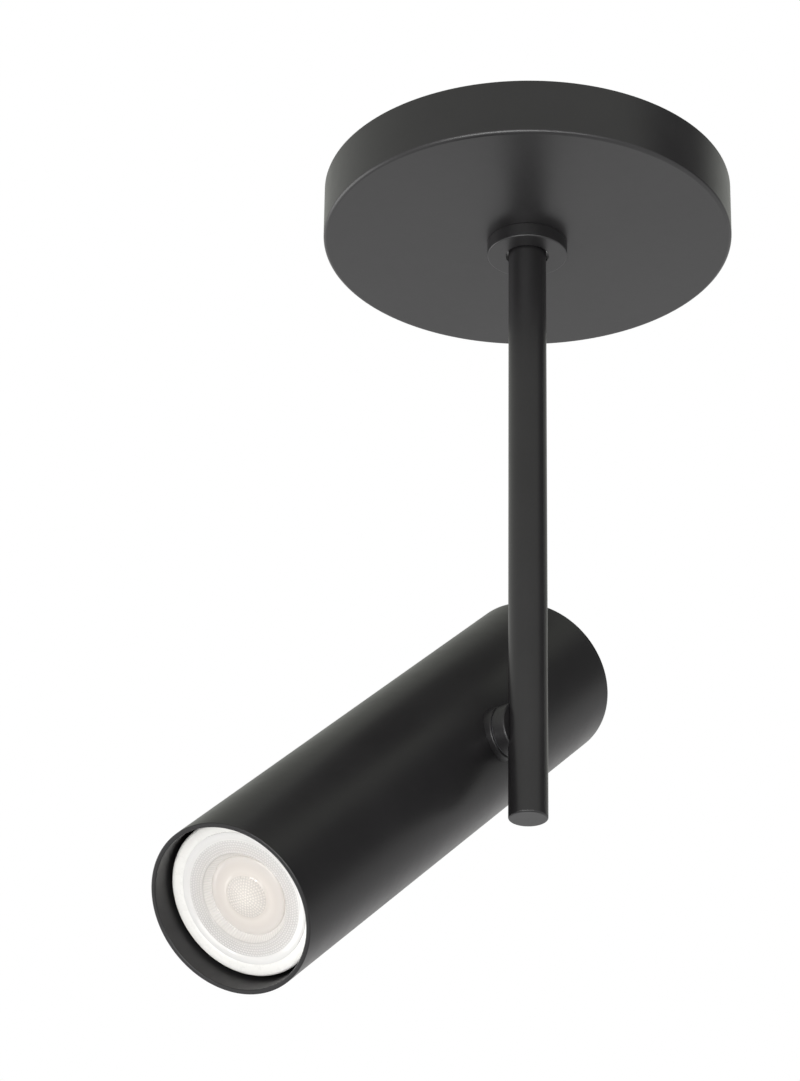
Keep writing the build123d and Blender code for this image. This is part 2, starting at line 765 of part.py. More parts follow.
# A pressed cup across the tube, with its rim forward.
with BuildPart() as holder_carrier:
    with BuildSketch(along_head(holder_back - carrier_t)):
        Circle(tube_bore_r - press_gap)
    extrude(amount=carrier_t + carrier_rim)
    with BuildSketch(along_head(holder_back)):
        Circle(tube_bore_r - carrier_rim_wall)
    extrude(amount=carrier_rim, mode=Mode.SUBTRACT)
    with BuildSketch(along_head(holder_back)):
        Circle(cable_r + grommet_wall + press_gap)
        with GridLocations(holder_screw_spacing, 1, 2, 1):
            Circle(m3_r + slide_gap)
    extrude(amount=-carrier_t, mode=Mode.SUBTRACT)
holder_carrier.part.label = "holder_carrier"
export_step(holder_carrier.part, "parts/holder_carrier.step")

with BuildPart() as cable_grommet:
    with BuildSketch(along_head(holder_back)):
        Circle(cable_r + grommet_wall)
    extrude(amount=-(carrier_t + grommet_flange))
    with BuildSketch(along_head(holder_back - carrier_t)):
        Circle(cable_r + grommet_wall + grommet_flange)
    extrude(amount=-grommet_flange)
    with BuildSketch(along_head(holder_back)):
        Circle(cable_r + press_gap)
    extrude(amount=-(carrier_t + grommet_flange), mode=Mode.SUBTRACT)
cable_grommet.part.label = "cable_grommet"
export_step(cable_grommet.part, "parts/cable_grommet.step")


def twist_slot(turn, width):
    """A curved slot on the pin circle, from turn onwards by the lamp's twist."""
    return SlotArc(
        Edge.make_circle(pin_circle / 2, start_angle=turn, end_angle=turn + lamp_twist), width
    )


# A ceramic block with two keyholes. The pins enter their round ends and turn under its face.
with BuildPart() as lampholder:
    with BuildSketch(along_head(holder_back)):
        RectangleRounded(holder_length, holder_width, holder_corner_r)
    extrude(amount=holder_height)
    for turn in (0, 180):
        with BuildSketch(along_head(holder_face)):
            twist_slot(turn, pin_d + 2 * slide_gap)
            with PolarLocations(pin_circle / 2, 1, start_angle=turn + lamp_twist):
                Circle(pin_head_d / 2 + slide_gap)
        extrude(amount=-holder_face_t, mode=Mode.SUBTRACT)
        with BuildSketch(along_head(pocket_top)):
            twist_slot(turn, pin_head_d + 2 * slide_gap)
        extrude(amount=-holder_pocket, mode=Mode.SUBTRACT)
    with BuildSketch(along_head(holder_back)):
        Circle(cable_r + slide_gap)
    extrude(amount=cable_entry, mode=Mode.SUBTRACT)
    with BuildSketch(along_head(holder_back)):
        with GridLocations(holder_screw_spacing, 1, 2, 1):
            Circle(m3_r + press_gap)
    extrude(amount=m3_bite, mode=Mode.SUBTRACT)
lampholder.part.label = "lampholder"
export_step(lampholder.part, "parts/lampholder.step")

with BuildPart() as lamp_contacts:
    with BuildSketch(along_head(pocket_floor)):
        for turn in (0, 180):
            twist_slot(turn, pin_head_d)
    extrude(amount=contact_t)
lamp_contacts.part.label = "lamp_contacts"
export_step(lamp_contacts.part, "parts/lamp_contacts.step")

# They hold the lampholder to its carrier, from behind.
carrier_rear = along_head(holder_back - carrier_t)
behind_carrier = Plane(origin=carrier_rear.origin, x_dir=(1, 0, 0), z_dir=head_axis * -1)
holder_screws = pan_screws(behind_carrier, holder_screw_spacing, carrier_t + m3_bite)
holder_screws.part.label = "holder_screws"
export_step(holder_screws.part, "parts/holder_screws.step")

# The cable's last stretch, from the tilt axis round to the lampholder's back.
with BuildPart() as head_cable:
    with BuildLine() as head_route:
        FilletPolyline(
            (cable_joint_x, 0, pivot_z),
            (-head_offset, 0, pivot_z),
            along_head(holder_back + cable_entry).origin,
            radius=cable_head_r,
        )
    with BuildSketch(across(cable_joint_x)):
        Circle(cable_r)
    sweep(path=head_route.line)
head_cable.part.label = "head_cable"
export_step(head_cable.part, "parts/head_cable.step")

# ======== the lamp ========

# A solid of revolution: bezel, lens seat, bowl, bulging shell and neck.
shell_top = (lamp_r - lamp_step, lamp_face - lamp_rim_t - lamp_step)
shell_low = (lamp_neck_d / 2, lamp_base + lamp_neck)
shell_mid = ((shell_top[0] + shell_low[0]) / 2 + lamp_bulge, (shell_top[1] + shell_low[1]) / 2)
with BuildPart() as lamp_body:
    with BuildSketch(head_section):
        with BuildLine():
            Polyline(
                shell_top,
                (lamp_r, lamp_face - lamp_rim_t),
                (lamp_r, lamp_face - lamp_edge_r),
            )
            JernArc((lamp_r, lamp_face - lamp_edge_r), (0, 1), lamp_edge_r, 90)
            Polyline(
                (lamp_r - lamp_edge_r, lamp_face),
                (lamp_r - lamp_edge_r - lamp_lip, lamp_face),
                (lens_r, lens_front),
                (lens_r, lens_seat_level),
                (lens_r - lens_seat, lens_seat_level),
                (lamp_bowl_floor_d / 2, bowl_floor),
                (0, bowl_floor),
                (0, lamp_base),
                (lamp_neck_d / 2, lamp_base),
                shell_low,
            )
            ThreePointArc(shell_low, shell_mid, shell_top)
        make_face()
    revolve(axis=head_line)
lamp_body.part.label = "lamp_body"
export_step(lamp_body.part, "parts/lamp_body.step")

# A clear moulding: a plate on the seat, a cone behind it that collects the light, and a
# round hollow in its front, which holds a cushion with a low dome in the middle.
cone_top = (lens_cone_d / 2, lens_seat_level)
cone_low = (lens_foot_d / 2, lens_foot)
cone_mid = ((cone_top[0] + cone_low[0]) / 2 + lens_cone_bulge, (cone_top[1] + cone_low[1]) / 2)
dome_edge = (lens_dome_d / 2, lens_cushion)
dome_top = (0, lens_cushion + lens_dome_h)
cushion_top = (lens_cushion_top_d / 2, lens_cushion)
cushion_foot = (lens_cushion_d / 2, lens_well_floor)
cushion_mid = (
    lens_cushion_top_d / 2 + (lens_cushion_d - lens_cushion_top_d) / 2 * sin(radians(45)),
    lens_well_floor + lens_cushion_h * cos(radians(45)),
)
with BuildPart() as lamp_lens:
    with BuildSketch(head_section):
        with BuildLine():
            Line(dome_edge, cushion_top)
            ThreePointArc(cushion_top, cushion_mid, cushion_foot)
            Polyline(
                cushion_foot,
                (lens_well_floor_d / 2, lens_well_floor),
                (lens_well_d / 2, lens_front),
                (lens_r - press_gap, lens_front),
                (lens_r - press_gap, lens_seat_level),
                cone_top,
            )
            ThreePointArc(cone_top, cone_mid, cone_low)
            Polyline(
                cone_low,
                (lens_eye_d / 2, lens_foot),
                (lens_eye_d / 2, lens_foot + lens_eye_depth),
                (0, lens_foot + lens_eye_depth),
                dome_top,
            )
            ThreePointArc(
                dome_top, (lens_dome_d / 4, lens_cushion + 0.75 * lens_dome_h), dome_edge
            )
        make_face()
    revolve(axis=head_line)
lamp_lens.part.label = "lamp_lens"
export_step(lamp_lens.part, "parts/lamp_lens.step")

with BuildPart() as led_board:
    with BuildSketch(along_head(bowl_floor)):
        Circle(lamp_bowl_floor_d / 2 - slide_gap)
    extrude(amount=board_t)
    with BuildSketch(along_head(bowl_floor + board_t)):
        Circle(led_d / 2)
    extrude(amount=led_t)
led_board.part.label = "led_board"
export_step(led_board.part, "parts/led_board.step")

with BuildPart() as lamp_pins:
    with BuildSketch(along_head(lamp_base)):
        with PolarLocations(pin_circle / 2, 2):
            Circle(pin_d / 2)
    extrude(amount=-pin_neck)
    with BuildSketch(along_head(lamp_base - pin_neck)):
        with PolarLocations(pin_circle / 2, 2):
            Circle(pin_head_d / 2)
    extrude(amount=-pin_head)
    tips = lamp_pins.faces().filter_by(GeomType.PLANE).sort_by(head_line)[0:2]
    chamfer(tips.edges(), pin_edge)
lamp_pins.part.label = "lamp_pins"
export_step(lamp_pins.part, "parts/lamp_pins.step")
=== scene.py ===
"""Surface mounted ceiling spotlight: the looks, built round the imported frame.

A round canopy, a collar, a thin stem, a short cross pivot and a long round head with a
recessed reflector lamp. Lengths in the property groups are in metres.
"""

import json
from collections import namedtuple
from math import atan2, cos, pi, radians, sin

import bmesh
import bpy
from bpy.props import FloatProperty, FloatVectorProperty, PointerProperty
from mathutils import Matrix, Vector


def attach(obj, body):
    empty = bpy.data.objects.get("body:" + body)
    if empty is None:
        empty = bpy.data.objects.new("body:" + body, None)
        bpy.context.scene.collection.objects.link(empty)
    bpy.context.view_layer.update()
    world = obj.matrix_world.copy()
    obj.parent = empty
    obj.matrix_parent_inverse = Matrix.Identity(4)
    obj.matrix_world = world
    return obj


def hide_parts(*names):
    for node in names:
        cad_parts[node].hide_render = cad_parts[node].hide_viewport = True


bl_info = {
    "name": "Ceiling Spotlight",
    "version": (1, 0, 0),
    "blender": (4, 5, 0),
    "location": "3D View > Sidebar > Spotlight",
    "description": "Finishes the pieces of a surface mounted ceiling spotlight and its studio",
    "category": "Object",
}

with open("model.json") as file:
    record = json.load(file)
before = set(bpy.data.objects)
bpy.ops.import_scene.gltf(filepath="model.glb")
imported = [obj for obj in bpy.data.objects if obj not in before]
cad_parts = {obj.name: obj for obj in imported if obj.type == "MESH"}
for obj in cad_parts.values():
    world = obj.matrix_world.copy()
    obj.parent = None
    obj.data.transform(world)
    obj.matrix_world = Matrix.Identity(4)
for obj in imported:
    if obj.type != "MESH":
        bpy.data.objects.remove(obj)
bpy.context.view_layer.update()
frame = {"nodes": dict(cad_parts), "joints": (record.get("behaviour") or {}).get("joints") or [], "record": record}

MM = 0.001
JOINT = {joint["name"]: joint for joint in frame["joints"]}
BODY = {
    node: body
    for body, nodes in frame["record"]["behaviour"]["bodies"].items()
    for node in nodes
}
TURN_STEPS = 160  # round a full turn, for turned pieces


# ======== places that follow from the frame ========


Reach = namedtuple("Reach", "start end inner outer")


def reach(node, origin, axis):
    """A node's least and greatest distance along an axis, and its least and greatest radius."""
    corners = [vertex.co - origin for vertex in frame["nodes"][node].data.vertices]
    runs = [corner.dot(axis) for corner in corners]
    radii = [(corner - axis * run).length for corner, run in zip(corners, runs)]
    return Reach(min(runs), max(runs), min(radii), max(radii))


UP = Vector((0, 0, 1))
HEAD_AXIS = Vector(JOINT["lamp_twist"]["axis"]).normalized()
TILT_POINT = Vector(JOINT["head_tilt"]["pos_m"])
LAMP_POINT = Vector(JOINT["lamp_twist"]["pos_m"])
HEAD_POINT = Vector((LAMP_POINT.x, TILT_POINT.y, TILT_POINT.z))  # where tube and tilt axes cross
HEAD_SIDE = Vector((1, 0, 0))
HEAD_PLACE = Matrix.Translation(HEAD_POINT) @ Matrix(
    (HEAD_SIDE, HEAD_AXIS.cross(HEAD_SIDE), HEAD_AXIS)
).transposed().to_4x4()

CANOPY = reach("canopy", Vector(), UP)
COLLAR = reach("canopy_collar", Vector(), UP)
TUBE = reach("head_tube", HEAD_POINT, HEAD_AXIS)
CAP = reach("rear_cap", HEAD_POINT, HEAD_AXIS)
LAMP = reach("lamp_body", HEAD_POINT, HEAD_AXIS)
LENS = reach("lamp_lens", HEAD_POINT, HEAD_AXIS)
BOARD = reach("led_board", HEAD_POINT, HEAD_AXIS)


# ======== tones set by trial against the photograph ========


FLOOR_REACH = 30.0  # from its middle to its sides
FLOOR_GLOW = 0.8  # share of the floor's own light, where it is seen or mirrored
SHADED_FLOOR = (0.76, -1.02)  # middle of a dim patch of floor, which only mirrored rays see
SHADED_REACH = (0.6, 1.5)  # fully dim up to the first distance, and not past the second
SHADED_SHARE = 0.85
DARK_PARTS = (  # parts of the room that are dim: toward, cosines at their edge and core, share
    ((0.66, 0.62, 0.42), 0.86, 0.95, 0.97),
    ((0.25, 0.96, -0.05), 0.86, 0.99, 0.5),
)
ROOM_TONES = (  # what is mirrored, from straight down at 0 to straight up at 1
    (0.42, (1.0, 0.975, 1.0)), (0.72, (0.71, 0.72, 0.68)), (0.80, (0.66, 0.68, 0.63)),
    (0.90, (0.42, 0.43, 0.39)), (0.9999, (0.32, 0.33, 0.30)),
    (1.0, (1.0, 1.0, 1.0)),  # a small bright spot overhead
)
LENS_TONES_AND_PAINTED_LIGHT = (  # the lens's colours by radius, in millimetres: warm in the middle, darker from 10 to 12.7, and painted light that makes the well's wall, from 12.9 to 14.5, bright
    (2.0, (1.0, 0.94, 0.86)), (10.0, (0.78, 0.72, 0.665)), (12.7, (0.76, 0.72, 0.68)),
    (13.1, (0.95, 0.92, 0.88)), (14.4, (0.90, 0.87, 0.83)), (15.2, (0.87, 0.835, 0.80)),
    (19.4, (0.96, 0.945, 0.92)), (25.0, (1.0, 1.0, 1.0)),
)


# ======== sizes and finishes that can be changed ========


class SpotlightShape(bpy.types.PropertyGroup):
    """Sizes of the visible detail, beyond what the frame fixes."""

    canopy_wall: FloatProperty(
        name="Canopy wall", description="Sheet thickness of the canopy",
        default=1.2 * MM, unit="LENGTH",
    )
    canopy_edge: FloatProperty(
        name="Canopy edge", description="Radius round the canopy's lower edge",
        default=1.3 * MM, unit="LENGTH",
    )
    collar_edge: FloatProperty(
        name="Collar edge", description="Rounding of the collar's lower edges",
        default=0.45 * MM, unit="LENGTH",
    )
    collar_seat: FloatProperty(
        name="Collar seat", description="Radius of the collar's seat on the housing",
        default=9.03 * MM, unit="LENGTH",
    )
    collar_seat_depth: FloatProperty(
        name="Collar seat depth", description="How deep the housing stands in the collar",
        default=3.0 * MM, unit="LENGTH",
    )
    tube_wall: FloatProperty(
        name="Tube wall", description="Wall thickness of the head's tube",
        default=1.5 * MM, unit="LENGTH",
    )
    tube_edge: FloatProperty(
        name="Tube edge", description="Rounding of the tube's rims",
        default=0.35 * MM, unit="LENGTH",
    )
    cap_wall: FloatProperty(
        name="Cap wall", description="Thickness of the rear cap's plate",
        default=2.0 * MM, unit="LENGTH",
    )
    cap_edge: FloatProperty(
        name="Cap edge", description="Rounding of the rear cap's outer edge",
        default=0.5 * MM, unit="LENGTH",
    )
    lens_bead: FloatProperty(
        name="Lens bead", description="Height of the small beads in the lens",
        default=0.16 * MM, unit="LENGTH",
    )


class SpotlightFinish(bpy.types.PropertyGroup):
    """Colours and gloss of the finishes."""

    black_paint: FloatVectorProperty(
        name="Black paint", description="Colour of the satin black coat",
        subtype="COLOR", default=(0.0125, 0.0119, 0.0125), size=3, min=0.0, max=1.0,
    )
    black_gloss: FloatProperty(
        name="Black roughness", description="Roughness of the satin black coat",
        subtype="FACTOR", default=0.34, min=0.0, max=1.0,
    )
    lamp_white: FloatVectorProperty(
        name="Lamp white", description="Colour of the lamp's moulded body",
        subtype="COLOR", default=(0.92, 0.91, 0.875), size=3, min=0.0, max=1.0,
    )


class SpotlightStudio(bpy.types.PropertyGroup):
    """Camera, floor and light."""

    camera_turn: FloatProperty(
        name="Camera turn", description="Camera's bearing round the stem, from the -Y side",
        subtype="ANGLE", default=radians(36.924),
    )
    camera_reach: FloatProperty(
        name="Camera reach", description="Level distance from the stem to the camera",
        default=1.126896, unit="LENGTH",
    )
    camera_drop: FloatProperty(
        name="Camera drop", description="How far the camera is below the ceiling",
        default=0.707628, unit="LENGTH",
    )
    camera_pitch: FloatProperty(
        name="Camera pitch", description="How far the camera looks up",
        subtype="ANGLE", default=radians(27.014),
    )
    camera_yaw: FloatProperty(
        name="Camera yaw", description="How far the camera looks past the stem",
        subtype="ANGLE", default=radians(-2.1144),
    )
    camera_roll: FloatProperty(
        name="Camera roll", description="Turn of the camera about its view",
        subtype="ANGLE", default=radians(0.8569),
    )
    camera_lens: FloatProperty(
        name="Camera lens", description="Focal length in millimetres on a 36 mm sensor",
        default=129.41,
    )
    floor_drop: FloatProperty(
        name="Floor drop", description="How far the floor is below the ceiling",
        default=2.2, unit="LENGTH",
    )


# ======== mesh helpers ========


def finished(name, bm, body, sharp=35.0):
    """Makes an object from a bmesh, smooth except at sharp edges, riding on a body."""
    mesh = bpy.data.meshes.new(name)
    bm.to_mesh(mesh)
    bm.free()
    mesh.shade_smooth()
    mesh.set_sharp_from_angle(angle=radians(sharp))
    piece = bpy.data.objects.new(name, mesh)
    bpy.context.scene.collection.objects.link(piece)
    flat_faces = piece.modifiers.new("flat faces", "WEIGHTED_NORMAL")
    flat_faces.keep_sharp = True
    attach(piece, body)
    return piece


def ring_edges(bm, radius, height, slack=1e-6):
    """The edges of a turned shape that lie on one circle."""
    def on_ring(vertex):
        return abs(vertex.co.xy.length - radius) < slack and abs(vertex.co.z - height) < slack
    return [edge for edge in bm.edges if all(on_ring(vertex) for vertex in edge.verts)]


def turned(profile, roundings=(), steps=TURN_STEPS):
    """Spins a closed profile of (radius, height) corners about Z, and rounds the named corners.

    Each rounding is (corner number, radius, segments)."""
    bm = bmesh.new()
    corners = [bm.verts.new((radius, 0, height)) for radius, height in profile]
    sides = [
        bm.edges.new((corner, corners[(number + 1) % len(corners)]))
        for number, corner in enumerate(corners)
        if corner.co.x > 0 or corners[(number + 1) % len(corners)].co.x > 0
    ]
    bmesh.ops.spin(
        bm, geom=corners + sides, cent=(0, 0, 0), axis=(0, 0, 1), angle=2 * pi,
        steps=steps, use_merge=True,
    )
    bmesh.ops.remove_doubles(bm, verts=bm.verts, dist=1e-7)
    bmesh.ops.recalc_face_normals(bm, faces=bm.faces)
    for corner, radius, segments in roundings:
        ring = ring_edges(bm, *profile[corner])
        bmesh.ops.bevel(
            bm, geom=ring, offset=radius, offset_type="OFFSET", segments=segments,
            profile=0.5, affect="EDGES", material=-1, clamp_overlap=True,
        )
    return bm


def placed(bm, matrix):
    bmesh.ops.transform(bm, matrix=matrix, verts=bm.verts)
    return bm


def eased(node, width, segments=2):
    """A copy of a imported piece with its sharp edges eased. It stands for that piece."""
    bm = bmesh.new()
    bm.from_mesh(frame["nodes"][node].data)
    bmesh.ops.remove_doubles(bm, verts=bm.verts, dist=1e-6)
    bmesh.ops.dissolve_limit(bm, angle_limit=radians(0.3), verts=bm.verts, edges=bm.edges)
    corners = [
        edge for edge in bm.edges
        if len(edge.link_faces) == 2 and edge.calc_face_angle() > radians(30)
    ]
    bmesh.ops.bevel(
        bm, geom=corners, offset=width, offset_type="OFFSET", segments=segments,
        profile=0.5, affect="EDGES", material=-1, clamp_overlap=True,
    )
    piece = finished(node + "_eased", bm, BODY[node])
    coat(piece, FINISH_OF[node])
    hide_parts(node)
    return piece


# ======== shader helpers ========


class Shader:
    """A material's or a node group's tree, with short calls for the nodes used here."""

    def __init__(self, tree):
        self.tree = tree
        self.nodes = tree.nodes
        self.links = tree.links

    def add(self, kind, **settings):
        node = self.nodes.new(kind)
        for key, value in settings.items():
            setattr(node, key, value)
        return node

    def feed(self, socket, value):
        if isinstance(value, bpy.types.NodeSocket):
            self.links.new(value, socket)
        else:
            socket.default_value = value

    def math(self, operation, a, b=0.0, clamp=False):
        node = self.add("ShaderNodeMath", operation=operation, use_clamp=clamp)
        self.feed(node.inputs[0], a)
        self.feed(node.inputs[1], b)
        return node.outputs[0]

    def vector(self, operation, a, b=(0, 0, 0)):
        node = self.add("ShaderNodeVectorMath", operation=operation)
        self.feed(node.inputs[0], a)
        self.feed(node.inputs[1], b)
        return node.outputs["Value" if operation in ("LENGTH", "DOT_PRODUCT") else "Vector"]

    def noise(self, vector, scale, detail=2.0, roughness=0.5):
        node = self.add("ShaderNodeTexNoise")
        self.feed(node.inputs["Vector"], vector)
        self.feed(node.inputs["Scale"], scale)
        node.inputs["Detail"].default_value = detail
        node.inputs["Roughness"].default_value = roughness
        return node.outputs["Fac"]

    def cells(self, vector, scale, feature="F1"):
        node = self.add("ShaderNodeTexVoronoi", feature=feature)
        self.feed(node.inputs["Vector"], vector)
        self.feed(node.inputs["Scale"], scale)
        return node.outputs["Distance"]

    def spread(self, value, low, high, out_low, out_high):
        """Maps low..high to out_low..out_high, held at both ends."""
        node = self.add("ShaderNodeMapRange", clamp=True)
        for socket, number in zip(node.inputs[:5], (value, low, high, out_low, out_high)):
            self.feed(socket, number)
        return node.outputs[0]

    def blend(self, factor, first, second):
        node = self.add("ShaderNodeMix", data_type="RGBA")
        self.feed(node.inputs[0], factor)
        self.feed(node.inputs[6], first)
        self.feed(node.inputs[7], second)
        return node.outputs[2]

    def ramp(self, factor, tones):
        """A colour ramp that holds just these (place, tone) stops, given in rising order."""
        node = self.add("ShaderNodeValToRGB")
        stops = node.color_ramp.elements
        stops.remove(stops[1])
        stops[0].position = tones[0][0]
        stops[0].color = (*tones[0][1], 1)
        for place, tone in tones[1:]:
            stops.new(place).color = (*tone, 1)
        self.feed(node.inputs[0], factor)
        return node.outputs[0]

    def group(self, name, **values):
        node = self.add("ShaderNodeGroup")
        node.node_tree = bpy.data.node_groups[name]
        for key, value in values.items():
            self.feed(node.inputs[key.replace("_", " ")], value)
        return node.outputs


def effect(name, inputs, outputs):
    """An empty shader node group with float inputs (name: default), a Vector and float outputs."""
    tree = bpy.data.node_groups.new(name, "ShaderNodeTree")
    vector = tree.interface.new_socket("Vector", in_out="INPUT", socket_type="NodeSocketVector")
    vector.hide_value = True
    for key, value in inputs.items():
        socket = tree.interface.new_socket(key, in_out="INPUT", socket_type="NodeSocketFloat")
        socket.default_value = value
    for key in outputs:
        tree.interface.new_socket(key, in_out="OUTPUT", socket_type="NodeSocketFloat")
    shader = Shader(tree)
    return shader, shader.add("NodeGroupInput").outputs, shader.add("NodeGroupOutput").inputs


def make_coat_grain():
    """The fine orange peel of a powder coat, with rare dust specks."""
    shader, given, out = effect("coat_grain", {"Grain": 1400.0}, ("Height", "Specks"))
    peel = shader.noise(given["Vector"], given["Grain"], 3.0, 0.55)
    slow = shader.noise(given["Vector"], shader.math("MULTIPLY", given["Grain"], 0.18), 2.0, 0.5)
    shader.feed(out["Height"], shader.math("ADD", peel, shader.math("MULTIPLY", slow, 0.8)))
    dust = shader.cells(given["Vector"], shader.math("MULTIPLY", given["Grain"], 0.35))
    shader.feed(out["Specks"], shader.spread(dust, 0.04, 0.10, 1.0, 0.0))


def make_handling():
    """Broad soft patches, where a surface was touched or polished a little more."""
    shader, given, out = effect("handling", {"Patch": 18.0}, ("Patches", "Streaks"))
    patches = shader.noise(given["Vector"], given["Patch"], 4.0, 0.6)
    shader.feed(out["Patches"], shader.spread(patches, 0.35, 0.65, 0.0, 1.0))
    streaks = shader.noise(given["Vector"], shader.math("MULTIPLY", given["Patch"], 9.0), 5.0, 0.7)
    shader.feed(out["Streaks"], shader.spread(streaks, 0.4, 0.7, 0.0, 1.0))


def make_crystals():
    """The patchy crystals of a zinc coat."""
    shader, given, out = effect("crystals", {"Size": 260.0}, ("Tone", "Height"))
    cell = shader.add("ShaderNodeTexVoronoi", feature="F1")
    shader.feed(cell.inputs["Vector"], given["Vector"])
    shader.feed(cell.inputs["Scale"], given["Size"])
    tone = shader.add("ShaderNodeSeparateColor")
    shader.feed(tone.inputs[0], cell.outputs["Color"])
    fine = shader.noise(given["Vector"], shader.math("MULTIPLY", given["Size"], 6.0), 3.0, 0.6)
    veins = shader.math("MULTIPLY", fine, 0.4)
    shader.feed(out["Tone"], shader.math("ADD", tone.outputs[0], veins))
    shader.feed(out["Height"], fine)


def make_turning_marks():
    """Fine rings left by a lathe, round Z of the given vector."""
    shader, given, out = effect("turning_marks", {"Pitch": 9000.0}, ("Height",))
    parts = shader.add("ShaderNodeSeparateXYZ")
    shader.feed(parts.inputs[0], given["Vector"])
    squares = [
        shader.math("MULTIPLY", parts.outputs[axis], parts.outputs[axis]) for axis in (0, 1)
    ]
    radius = shader.math("SQRT", shader.math("ADD", *squares))
    along = shader.math("ADD", radius, parts.outputs[2])
    shader.feed(out["Height"], shader.math("SINE", shader.math("MULTIPLY", along, given["Pitch"])))


def material(name):
    """A new node material: its shader, its Principled BSDF and its object coordinates."""
    if name in bpy.data.materials:
        raise RuntimeError(f"a material named {name} is there already")
    made = bpy.data.materials.new(name)
    made.use_nodes = True
    shader = Shader(made.node_tree)
    surface = shader.nodes["Principled BSDF"]
    place = shader.add("ShaderNodeTexCoord").outputs["Object"]
    return made, shader, surface, place


def bump(shader, surface, height, distance, strength=1.0):
    node = shader.add("ShaderNodeBump")
    node.inputs["Strength"].default_value = strength
    node.inputs["Distance"].default_value = distance
    shader.feed(node.inputs["Height"], height)
    shader.feed(surface.inputs["Normal"], node.outputs["Normal"])


def black_coat(name, grain=1400.0, tint=(1.0, 1.0, 1.0), lift=0.0, ior=1.5):
    """Satin black paint over metal."""
    finish = bpy.context.scene.spotlight_finish
    made, shader, surface, place = material(name)
    coat = shader.group("coat_grain", Vector=place, Grain=grain)
    worn = shader.group("handling", Vector=place, Patch=22.0)
    base = [channel * shade for channel, shade in zip(finish.black_paint, tint)]
    paint = shader.blend(worn["Patches"], (*base, 1), (*[1.18 * channel for channel in base], 1))
    shader.feed(
        surface.inputs["Base Color"],
        shader.blend(shader.math("MULTIPLY", coat["Specks"], 0.25), paint, (0.05, 0.05, 0.05, 1)),
    )
    gloss = finish.black_gloss + lift
    shader.feed(
        surface.inputs["Roughness"],
        shader.spread(
            shader.math("ADD", worn["Patches"], shader.math("MULTIPLY", worn["Streaks"], 0.5)),
            0.0, 1.5, gloss - 0.03, gloss + 0.05,
        ),
    )
    surface.inputs["IOR"].default_value = ior
    bump(shader, surface, coat["Height"], 0.012 * MM)
    return made


def zinc_plate(name, tone=(0.56, 0.565, 0.56), roughness=0.38):
    """Zinc plated steel."""
    made, shader, surface, place = material(name)
    flakes = shader.group("crystals", Vector=place, Size=240.0)
    worn = shader.group("handling", Vector=place, Patch=40.0)
    dark = [0.82 * channel for channel in tone]
    shader.feed(
        surface.inputs["Base Color"],
        shader.blend(shader.spread(flakes["Tone"], 0.1, 1.2, 0.0, 1.0), (*dark, 1), (*tone, 1)),
    )
    shader.feed(
        surface.inputs["Roughness"],
        shader.spread(worn["Streaks"], 0.0, 1.0, roughness - 0.08, roughness + 0.1),
    )
    surface.inputs["Metallic"].default_value = 1.0
    bump(shader, surface, flakes["Height"], 0.006 * MM)
    return made


def turned_metal(name, tone, roughness=0.28, pitch=9000.0):
    """Metal with the fine rings of a lathe."""
    made, shader, surface, place = material(name)
    rings = shader.group("turning_marks", Vector=place, Pitch=pitch)
    worn = shader.group("handling", Vector=place, Patch=60.0)
    dull = [0.85 * channel for channel in tone]
    shader.feed(surface.inputs["Base Color"], shader.blend(worn["Patches"], (*tone, 1), (*dull, 1)))
    shader.feed(
        surface.inputs["Roughness"],
        shader.spread(worn["Streaks"], 0.0, 1.0, roughness - 0.06, roughness + 0.1),
    )
    surface.inputs["Metallic"].default_value = 1.0
    bump(shader, surface, rings["Height"], 0.003 * MM)
    return made


def moulded(name, tone, roughness=0.4, grain=900.0, depth=0.01, speckle=0.0):
    """Plastic, rubber or ceramic with a fine skin."""
    made, shader, surface, place = material(name)
    skin = shader.group("coat_grain", Vector=place, Grain=grain)
    worn = shader.group("handling", Vector=place, Patch=45.0)
    shaded = [0.96 * channel for channel in tone]
    base = shader.blend(worn["Patches"], (*tone, 1), (*shaded, 1))
    marks = shader.math("MULTIPLY", skin["Specks"], speckle)
    shader.feed(
        surface.inputs["Base Color"],
        shader.blend(marks, base, (*[0.5 * channel for channel in tone], 1)),
    )
    shader.feed(
        surface.inputs["Roughness"],
        shader.spread(worn["Streaks"], 0.0, 1.0, roughness - 0.05, roughness + 0.07),
    )
    bump(shader, surface, skin["Height"], depth * MM)
    return made


def lens_clear(name):
    """Clear moulded lens over a white bowl: warm in the middle, white where the rim backs it, with painted light
    on the well's wall, and painted shade between its beads, in its flutes' grooves and at the well's brink.
    """
    made, shader, surface, place = material(name)
    offset = shader.vector("SUBTRACT", place, HEAD_POINT)
    across = shader.vector("CROSS_PRODUCT", offset, HEAD_AXIS)
    last = LENS_TONES_AND_PAINTED_LIGHT[-1][0]
    radius = shader.spread(shader.vector("LENGTH", across), 0.0, last * MM, 0.0, 1.0)
    tops = shader.ramp(radius, [(place_mm / last, tone) for place_mm, tone in LENS_TONES_AND_PAINTED_LIGHT])
    # painted shade: where the relief mask is 0, the colour goes half way to dark grey
    hollow_shade = shader.blend(0.5, tops, (0.45, 0.43, 0.42, 1))
    moulding = shader.add("ShaderNodeAttribute", attribute_name="moulding").outputs["Fac"]
    shader.feed(surface.inputs["Base Color"], shader.blend(moulding, hollow_shade, tops))
    surface.inputs["Transmission Weight"].default_value = 0.15
    surface.inputs["IOR"].default_value = 1.49
    haze = shader.noise(place, 220.0, 3.0, 0.6)
    shader.feed(surface.inputs["Roughness"], shader.spread(haze, 0.3, 0.7, 0.05, 0.12))
    bump(shader, surface, shader.noise(place, 500.0, 2.0, 0.5), 0.004 * MM)
    return made


